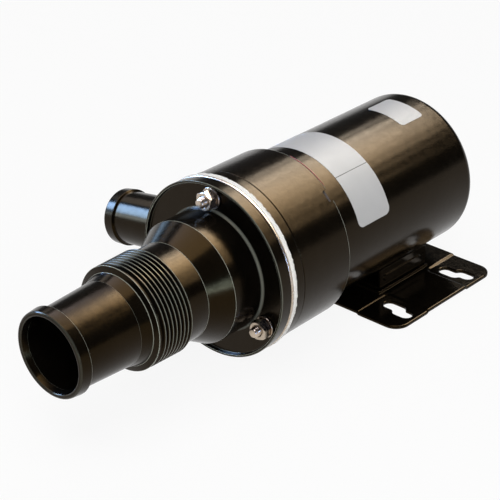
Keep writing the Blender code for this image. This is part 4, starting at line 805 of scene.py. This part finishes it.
def make_base_plate():
    """Flat sheet with two-lobed slots and rounded edges, then pressed to its raised form."""
    outline = rounded_plate()
    bottom = -MIDDLE_RAISE
    top = bottom + PLATE_SHEET
    plate = loft("base_plate_fine", along_z(outline, bottom), along_z(outline, top))
    openings = [slot_outline(sign_x, sign_y) for sign_x in (1, -1) for sign_y in (1, -1)]
    openings += [circle((x, 0.0), PLATE_HOLE_RADIUS) for x in BASE_SCREWS]
    through = 4.0
    carve(plate, [loft("opening_tool", along_z(opening, -through), along_z(opening, through))
                  for opening in openings])
    weights = plate.data.attributes.new("bevel_weight_edge", "FLOAT", "EDGE")
    for edge, weight in zip(plate.data.edges, weights.data):
        low, high = sorted(plate.data.vertices[index].co.z / MM for index in edge.vertices)
        if high - low < 0.01:
            weight.value = 1.0 if high > top - 0.01 else PLATE_LOWER_ROUND
    bevel(plate, PLATE_EDGE_ROUND, 4)
    bm = bmesh.new()
    bm.from_mesh(plate.data)
    for place, normal in press_planes():
        bmesh.ops.bisect_plane(bm, geom=bm.verts[:] + bm.edges[:] + bm.faces[:], dist=1e-7,
                               plane_co=place, plane_no=normal)
    for vert in bm.verts:
        vert.co.z += plate_rise(vert.co.x / MM, vert.co.y / MM) * MM
    bm.to_mesh(plate.data)
    bm.free()
    shade(plate.data, 60)
    return plate


def bead_tools(radius, wall):
    """Round-ended bars along both walls of the cradle, standing out of the given face of each wall."""
    front, rear = BEAD_ENDS
    outline = arc((rear, BEAD_HEIGHT), radius, -90, 90, 10)
    outline += arc((front, BEAD_HEIGHT), radius, 90, 270, 10)
    return [loft("bead_tool", along_y(outline, side * (wall - BEAD_SUNK)),
                 along_y(outline, side * (wall + BEAD_RISE))) for side in (1, -1)]


def make_cradle():
    """Channel with curved bends that holds the can, and a long pressed bead in each wall."""
    low = PLATE_SHEET + CRADLE_GAP
    outer = CRADLE_HALF_WIDTH
    inner = outer - CRADLE_SHEET
    contact = CAN_RADIUS + CRADLE_GAP
    outer_top = AXIS_Z - math.sqrt(contact ** 2 - outer ** 2)
    inner_top = AXIS_Z - math.sqrt(contact ** 2 - inner ** 2)
    bend = CRADLE_BEND
    right = [(outer, outer_top), (inner, inner_top)]
    right += arc((outer - bend, low + bend), bend - CRADLE_SHEET, 0, -90, 8)
    outline = right + [(-y, z) for y, z in reversed(right)]
    outline += arc((-outer + bend, low + bend), bend, 180, 270, 8)
    outline += arc((outer - bend, low + bend), bend, 270, 360, 8)
    half = CRADLE_LENGTH / 2
    cradle = loft("motor_cradle_fine", along_x(outline, -half), along_x(outline, half))
    tools = []
    for x in BASE_SCREWS:
        hole = circle((x, 0.0), SCREW_HOLE_RADIUS)
        tools.append(loft("cradle_hole_tool", along_z(hole, low - 1), along_z(hole, low + 2)))
    carve(cradle, tools)
    carve(cradle, bead_tools(BEAD_RADIUS, outer), "UNION")
    carve(cradle, bead_tools(BEAD_HOLLOW_RADIUS, inner))
    return bevel(cradle, CRADLE_EDGE_ROUND, 4)


def make_grommet():
    rows = soften([
        (32.5, 1.8, 0.3),
        (32.5, 5.2, 0.5),
        (34.5, 5.2, 0.2),
        (34.5, 3.5, 0.1),
        (36.7, 3.5, 0.1),
        (36.7, 5.2, 0.3),
        (37.7, 5.2, 0.8),
        (38.7, 3.5, 0.6),
        (38.7, 1.8, 0.4),
    ], steps=4)
    return lathe("lead_grommet_fine", rows, 64, polar(*LEAD_PLACE))


def make_can_seal():
    rows = soften([
        (-57.7, 35.8, 0.1),
        (-57.7, 36.6, 0.1),
        (-56.6, 36.75, 0.15),
        (-56.6, 35.65, 0.15),
    ], steps=3)
    return lathe("can_seal_fine", rows)


def make_seal_bead():
    """Thin line of sealant squeezed out along the body's rear edge, above the weep notch."""
    turns = np.linspace(*SEAL_ANGLES, 40)
    sides = 8
    points = []
    for index, turn in enumerate(turns):
        share = index / (len(turns) - 1)
        size = SEAL_SIZE * math.sin(math.pi * min(1.0, max(0.02, share))) ** 0.35
        for side in range(sides):
            a = math.tau * side / sides
            y, z = polar(SEAL_RADIUS + size * math.sin(a), turn)
            points.append((SEAL_STATION + size * math.cos(a), y, AXIS_Z + z))
    faces = [tuple(range(sides))[::-1], tuple(range(len(points) - sides, len(points)))]
    for i in range(len(turns) - 1):
        for j in range(sides):
            k = (j + 1) % sides
            faces.append((i * sides + j, i * sides + k, (i + 1) * sides + k, (i + 1) * sides + j))
    return solid("seal_bead", points, faces, degrees=60)


def make_base_screw(index, x):
    """Low head with a cross recess, seen from below."""
    rows = soften([
        (0.3, 0.0, 0.0),
        (0.3, 3.2, 0.35),
        (1.5, 3.6, 0.15),
        (1.5, 2.0, 0.1),
        (5.4, 2.0, 0.3),
        (5.4, 0.0, 0.0),
    ], steps=4)
    screw = lathe(f"base_screw_{index}_fine", rows, 64, (0.0, -AXIS_Z))
    screw.data.transform(Matrix.Rotation(math.radians(-90), 4, "Y"))
    screw.data.transform(Matrix.Translation((x * MM, 0, 0)))
    tools = []
    wide = [(-2.0, -0.35), (2.0, -0.35), (2.0, 0.35), (-2.0, 0.35)]
    narrow = [(0.7 * u, v) for u, v in wide]
    for turn in (45, 135):
        tool = loft("cross_tool", along_z(wide, -0.4), along_z(narrow, 1.0))
        tool.data.transform(Matrix.Rotation(math.radians(turn), 4, "Z"))
        tool.data.transform(Matrix.Translation((x * MM, 0, 0)))
        tools.append(tool)
    return carve(screw, tools)


def combine(tree, operation, first, second):
    """Joins two sockets, or a socket and a number, by the given operation."""
    node = tree.nodes.new("ShaderNodeMath")
    node.operation = operation
    for source, socket in zip((first, second), node.inputs):
        if isinstance(source, float):
            socket.default_value = source
        else:
            tree.links.new(source, socket)
    return node.outputs[0]


def ramp(tree, value, low, high, from_low=0.0, from_high=1.0):
    """Maps a socket's values from one range to another, and holds them at the ends."""
    node = tree.nodes.new("ShaderNodeMapRange")
    node.inputs["From Min"].default_value = from_low
    node.inputs["From Max"].default_value = from_high
    node.inputs["To Min"].default_value = low
    node.inputs["To Max"].default_value = high
    tree.links.new(value, node.inputs["Value"])
    return node.outputs["Result"]


class Shader:
    """Builds one procedural material on a Principled shader."""

    def __init__(self, name, colour, roughness, metallic=0.0, ior=1.5, tint=None):
        self.material = bpy.data.materials.new(name)
        self.material.use_nodes = True
        self.tree = self.material.node_tree
        self.shader = self.tree.nodes["Principled BSDF"]
        self.shader.inputs["Base Color"].default_value = (*colour, 1.0)
        self.shader.inputs["Roughness"].default_value = roughness
        self.shader.inputs["Metallic"].default_value = metallic
        self.shader.inputs["IOR"].default_value = ior
        if tint:
            self.shader.inputs["Specular Tint"].default_value = (*tint, 1.0)
        self.place = self.tree.nodes.new("ShaderNodeTexCoord").outputs["Object"]
        self.height = None

    def noise(self, scale, detail, stretch=(1, 1, 1)):
        """Noise of the given number of features to the metre, stretched along the axes."""
        mapping = self.tree.nodes.new("ShaderNodeMapping")
        mapping.inputs["Scale"].default_value = stretch
        self.tree.links.new(self.place, mapping.inputs["Vector"])
        node = self.tree.nodes.new("ShaderNodeTexNoise")
        node.inputs["Scale"].default_value = scale
        node.inputs["Detail"].default_value = detail
        self.tree.links.new(mapping.outputs["Vector"], node.inputs["Vector"])
        return node.outputs["Fac"]

    def spread(self, value, low, high, from_low=0.3, from_high=0.7):
        """Spreads the middle of a noise from low to high."""
        return ramp(self.tree, value, low, high, from_low, from_high)

    def mix(self, value, first, second):
        node = self.tree.nodes.new("ShaderNodeMix")
        node.data_type = "RGBA"
        self.tree.links.new(value, node.inputs["Factor"])
        for source, socket in ((first, node.inputs["A"]), (second, node.inputs["B"])):
            if isinstance(source, tuple):
                socket.default_value = (*source, 1.0)
            else:
                self.tree.links.new(source, socket)
        return node.outputs["Result"]

    def colour(self, source):
        self.tree.links.new(source, self.shader.inputs["Base Color"])

    def roughness(self, source):
        self.tree.links.new(source, self.shader.inputs["Roughness"])

    def bump(self, source, distance):
        """Adds a bump of the given height in millimetres on top of any earlier one."""
        node = self.tree.nodes.new("ShaderNodeBump")
        node.inputs["Distance"].default_value = distance * MM
        self.tree.links.new(source, node.inputs["Height"])
        if self.height:
            self.tree.links.new(self.height, node.inputs["Normal"])
        self.height = node.outputs["Normal"]
        self.tree.links.new(self.height, self.shader.inputs["Normal"])

    # Reads each point's painted edge highlight
    def edge(self):
        node = self.tree.nodes.new("ShaderNodeAttribute")
        node.attribute_name = "edge"
        return node.outputs["Fac"]


def moulding():
    """Black moulded plastic: faint mottle, orange peel, and light lines painted along the rounded edges
    as painted highlights.
    """
    look = Shader("black_moulding_look", DEEP_BLACK, 0.2, ior=1.25, tint=GLOSS_TINT)
    mottle = look.spread(look.noise(90, 4), 0.0, 1.0)
    body = look.mix(mottle, (0.0014, 0.0012, 0.0009), (0.0034, 0.0027, 0.0020))
    # Painted highlight: light grey mixed over the black where the edge attribute marks a rounded edge
    look.colour(look.mix(look.edge(), body, (0.34, 0.36, 0.31)))
    look.roughness(look.spread(look.noise(700, 3), 0.15, 0.24))
    look.bump(look.noise(1500, 2), 0.008)
    look.bump(look.noise(140, 2), 0.06)
    return look.material


def enamel(name, rough, wave):
    """Black enamel on steel: smoother than the mouldings, with a slight waviness."""
    look = Shader(name, DEEP_BLACK, rough, ior=1.25, tint=GLOSS_TINT)
    mottle = look.spread(look.noise(60, 3), 0.0, 1.0)
    look.colour(look.mix(mottle, (0.0013, 0.0011, 0.0008), (0.0030, 0.0025, 0.0018)))
    look.roughness(look.spread(look.noise(500, 3), rough - 0.03, rough + 0.05))
    look.bump(look.noise(900, 2), 0.003)
    look.bump(look.noise(110, 2), wave)
    return look.material


def metal(name, colour, rough, stretch=(1, 1, 1), scale=900.0):
    """Metal with fine machining marks and a little variation of tone."""
    look = Shader(name, colour, rough, metallic=1.0)
    tone = look.spread(look.noise(scale / 3, 3, stretch), 0.0, 1.0)
    darker = tuple(0.78 * value for value in colour)
    look.colour(look.mix(tone, darker, colour))
    look.roughness(look.spread(look.noise(scale, 3, stretch), rough - 0.05, rough + 0.08))
    look.bump(look.noise(scale * 1.5, 2, stretch), 0.003)
    return look.material


def matt(name, colour, rough, grain=800.0, depth=0.03):
    """Matt material, such as rubber, ferrite, board or carbon."""
    look = Shader(name, colour, rough)
    tone = look.spread(look.noise(grain / 5, 4), 0.0, 1.0)
    lighter = tuple(min(1.0, 1.35 * value + 0.006) for value in colour)
    look.colour(look.mix(tone, colour, lighter))
    look.roughness(look.spread(look.noise(grain, 2), rough - 0.06, rough + 0.06))
    look.bump(look.noise(grain, 3), depth)
    return look.material


def paper():
    """White fibre sheet with streaky fibres along its cut edge."""
    look = Shader("white_paper_look", (0.86, 0.85, 0.81), 0.9, ior=1.3)
    fibres = look.spread(look.noise(1400, 4, (4, 1, 1)), 0.0, 1.0, 0.35, 0.6)
    look.colour(look.mix(fibres, (0.80, 0.78, 0.73), (0.93, 0.92, 0.90)))
    look.bump(look.noise(2500, 3), 0.05)
    return look.material


def foil():
    """Silver-white label film."""
    look = Shader("label_film_look", (0.48, 0.48, 0.485), 0.45, ior=1.40)
    tone = look.spread(look.noise(60, 2), 0.0, 1.0)
    look.colour(look.mix(tone, (0.465, 0.465, 0.47), (0.50, 0.50, 0.505)))
    look.roughness(look.spread(look.noise(600, 2), 0.42, 0.52))
    look.bump(look.noise(300, 2), 0.008)
    return look.material


def floor_look():
    """White floor. Where the camera, gloss or a ray through a body looks at it, most of it is even glow
    and the rest shows the object's shadow."""
    material = bpy.data.materials.new("floor_look")
    material.use_nodes = True
    tree = material.node_tree
    nodes = tree.nodes
    nodes.remove(nodes["Principled BSDF"])
    diffuse = nodes.new("ShaderNodeBsdfDiffuse")
    diffuse.inputs["Color"].default_value = (0.85, 0.85, 0.85, 1.0)
    glow = nodes.new("ShaderNodeEmission")
    glow.inputs["Strength"].default_value = 1.0
    rays = nodes.new("ShaderNodeLightPath").outputs
    seen = combine(tree, "MAXIMUM", rays["Is Camera Ray"], rays["Is Glossy Ray"])
    seen = combine(tree, "MAXIMUM", seen, rays["Is Transmission Ray"])
    both = nodes.new("ShaderNodeMixShader")
    sources = (combine(tree, "MULTIPLY", seen, FLOOR_GLOW), diffuse.outputs[0], glow.outputs[0])
    for source, socket in zip(sources, both.inputs):
        tree.links.new(source, socket)
    tree.links.new(both.outputs[0], nodes["Material Output"].inputs["Surface"])
    return material


def set_world():
    """Dim even light from all sides. The camera sees white everywhere, and gloss sees a white band at
    the horizon that fades upwards."""
    world = bpy.data.worlds.new("studio")
    bpy.context.scene.world = world
    world.use_nodes = True
    tree = world.node_tree
    background = tree.nodes["Background"]
    background.inputs["Color"].default_value = (1.0, 1.0, 1.0, 1.0)
    parts = tree.nodes.new("ShaderNodeSeparateXYZ")
    tree.links.new(tree.nodes.new("ShaderNodeTexCoord").outputs["Generated"], parts.inputs[0])
    heights = [math.sin(math.radians(elevation)) for elevation in BAND_ELEVATIONS]
    band = ramp(tree, parts.outputs["Z"], 1.0, 0.0, *heights)
    rays = tree.nodes.new("ShaderNodeLightPath").outputs
    mirrored = combine(tree, "MAXIMUM", rays["Is Glossy Ray"], rays["Is Transmission Ray"])
    share = combine(tree, "MAXIMUM", combine(tree, "MULTIPLY", mirrored, band), rays["Is Camera Ray"])
    tree.links.new(ramp(tree, share, WORLD_STRENGTH, 1.0), background.inputs["Strength"])


def compass(azimuth, elevation):
    """Direction at an azimuth from +X towards +Y, and an elevation above the floor."""
    a = math.radians(azimuth)
    e = math.radians(elevation)
    return Vector((math.cos(a) * math.cos(e), math.sin(a) * math.cos(e), math.sin(e)))


def add_softbox(name, azimuth, elevation, distance, size, radiance, gloss_only=True):
    """Area lamp that faces the object. It shows in gloss alone, or lights matt surfaces alone."""
    lamp = bpy.data.lights.new(name, "AREA")
    lamp.shape = "RECTANGLE"
    lamp.size, lamp.size_y = size
    strongest = max(radiance)
    lamp.energy = strongest * math.pi * size[0] * size[1]
    lamp.color = [value / strongest for value in radiance]
    item = link(name, lamp)
    heading = compass(azimuth, elevation)
    item.location = LIGHT_TARGET + heading * distance
    item.rotation_euler = heading.to_track_quat("Z", "Y").to_euler()
    item.visible_glossy = gloss_only
    item.visible_diffuse = not gloss_only
    item.visible_camera = False


def set_lights():
    """Long key in strips that fade towards its ends, softboxes for gloss, and fills for the rest."""
    for index, (azimuth, elevation, width, strength) in enumerate(KEY_STRIPS):
        radiance = [strength * share for share in KEY_TINT]
        add_softbox(f"key_{index}", azimuth, elevation, KEY_DISTANCE, (width, KEY_HEIGHT), radiance)
    for name, azimuth, elevation, size, radiance in SOFTBOXES:
        add_softbox(name, azimuth, elevation, SOFTBOX_DISTANCE, size, radiance)
    for name, azimuth, elevation, size, radiance in FILLS:
        add_softbox(name, azimuth, elevation, FILL_DISTANCE, size, radiance, gloss_only=False)


def set_camera():
    """The photograph's own view."""
    camera = bpy.data.cameras.new("camera")
    camera.sensor_width = CAMERA_SENSOR
    camera.lens = CAMERA_LENS
    camera.clip_start = CAMERA_CLIP
    item = link("camera", camera)
    turn = Matrix((CAMERA_RIGHT, CAMERA_UP, -CAMERA_AHEAD)).transposed().to_4x4()
    item.matrix_world = Matrix.Translation(CAMERA_PLACE * MM) @ turn
    bpy.context.scene.camera = item


def add_floor():
    signs = ((-1, -1), (1, -1), (1, 1), (-1, 1))
    corners = [(x * FLOOR_REACH, y * FLOOR_REACH, FLOOR_Z * MM) for x, y in signs]
    mesh = bpy.data.meshes.new("floor")
    mesh.from_pydata(corners, [], [(0, 1, 2, 3)])
    floor = link("floor", mesh)
    mesh.materials.append(floor_look())


def flatten(item):
    """Weights the shading by area, so that a flat face stays flat beside its rounded edges."""
    change = item.modifiers.new("normals", "WEIGHTED_NORMAL")
    change.keep_sharp = True
    graph = bpy.context.evaluated_depsgraph_get()
    mesh = bpy.data.meshes.new_from_object(item.evaluated_get(graph))
    item.modifiers.clear()
    item.data = mesh


def wear(item, material, body="pump", nodes=()):
    """Gives a new piece its material and its body, and hides the CAD nodes it stands for."""
    flatten(item)
    item.data.materials.clear()
    item.data.materials.append(material)
    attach(item, body)
    if nodes:
        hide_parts(*nodes)


def make_looks():
    return {
        "black_moulding": moulding(),
        "black_enamel": enamel("black_enamel_look", 0.17, 0.045),
        "plate_enamel": enamel("plate_enamel_look", 0.14, 0.02),
        "stainless": metal("stainless_look", (0.56, 0.46, 0.36), 0.27),
        "steel": metal("steel_look", (0.50, 0.50, 0.51), 0.32),
        "aluminium": metal("aluminium_look", (0.66, 0.67, 0.68), 0.40, scale=500.0),
        "white_paper": paper(),
        "black_rubber": matt("black_rubber_look", (0.020, 0.020, 0.021), 0.60),
        "red_rubber": matt("red_rubber_look", (0.26, 0.05, 0.03), 0.55),
        # The can's seal is red rubber; its colour is painted near black as painted shade, for it shows
        # only inside the weep notch
        "seal_in_painted_shade": matt("painted_shade_seal_look", (0.012, 0.005, 0.004), 0.7),
        "green_rubber": matt("green_rubber_look", (0.06, 0.15, 0.11), 0.50),
        "ferrite": matt("ferrite_look", (0.09, 0.09, 0.10), 0.60, 1500.0, 0.02),
        "copper": metal("copper_look", (0.72, 0.36, 0.20), 0.30, (1, 6, 6)),
        "carbon": matt("carbon_look", (0.05, 0.05, 0.055), 0.45, 1500.0, 0.01),
        "brass": metal("brass_look", (0.76, 0.58, 0.27), 0.28),
        "board": matt("board_look", (0.33, 0.20, 0.09), 0.55, 600.0, 0.02),
        "label": foil(),
        "ink": matt("label_rule_look", (0.02, 0.02, 0.022), 0.5, 900.0, 0.003),
    }


def dress_frame(looks):
    """Gives every CAD node the material of its slot."""
    slots = {item["node"]: item["material_slot"] for item in frame["record"]["subparts"]}
    for name, item in frame["nodes"].items():
        item.data.materials.clear()
        item.data.materials.append(looks[slots[name]])


def make_pieces(looks):
    wear(make_inlet_housing(), looks["black_moulding"], nodes=["inlet_housing"])
    wear(make_wear_plate(), looks["stainless"], nodes=["wear_plate"])
    wear(make_gasket(), looks["white_paper"], nodes=["cover_gasket"])
    wear(make_cover(), looks["black_moulding"], nodes=["impeller_cover"])
    wear(make_pump_body(), looks["black_moulding"], nodes=["pump_body"])
    wear(make_can(), looks["black_enamel"], nodes=["motor_can"])
    # The seal wears the near-black painted shade instead of its red rubber
    wear(make_can_seal(), looks["seal_in_painted_shade"], nodes=["can_seal"])
    wear(make_seal_bead(), looks["red_rubber"])
    wear(make_base_plate(), looks["plate_enamel"], nodes=["base_plate"])
    wear(make_cradle(), looks["plate_enamel"], nodes=["motor_cradle"])
    wear(make_grommet(), looks["black_rubber"], nodes=["lead_grommet"])
    for index, x in enumerate(BASE_SCREWS, start=1):
        wear(make_base_screw(index, x), looks["stainless"], nodes=[f"base_screw_{index}"])
    for index, centre in enumerate(stud_centres(), start=1):
        wear(make_stud(index, centre), looks["stainless"], nodes=[f"stud_{index}"])
        wear(make_washer(index, centre), looks["stainless"], nodes=[f"stud_washer_{index}"])
        wear(make_nut(index, centre), looks["stainless"], nodes=[f"stud_nut_{index}"])
    for name, look, span, corner, (inner, outer) in SHEETS:
        wear(curved_sheet(name, *span, corner, CAN_RADIUS + inner, CAN_RADIUS + outer), looks[look])


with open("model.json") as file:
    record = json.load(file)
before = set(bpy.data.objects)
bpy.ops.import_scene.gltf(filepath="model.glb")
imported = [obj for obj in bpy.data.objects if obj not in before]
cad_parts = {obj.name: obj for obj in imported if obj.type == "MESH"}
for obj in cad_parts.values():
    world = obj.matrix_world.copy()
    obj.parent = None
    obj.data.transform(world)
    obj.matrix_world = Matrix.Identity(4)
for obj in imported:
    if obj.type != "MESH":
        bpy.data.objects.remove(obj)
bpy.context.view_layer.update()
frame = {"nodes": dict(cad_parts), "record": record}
bpy.context.scene.view_settings.view_transform = "Standard"
set_camera()
set_world()
set_lights()
add_floor()
finishes = make_looks()
dress_frame(finishes)
make_pieces(finishes)
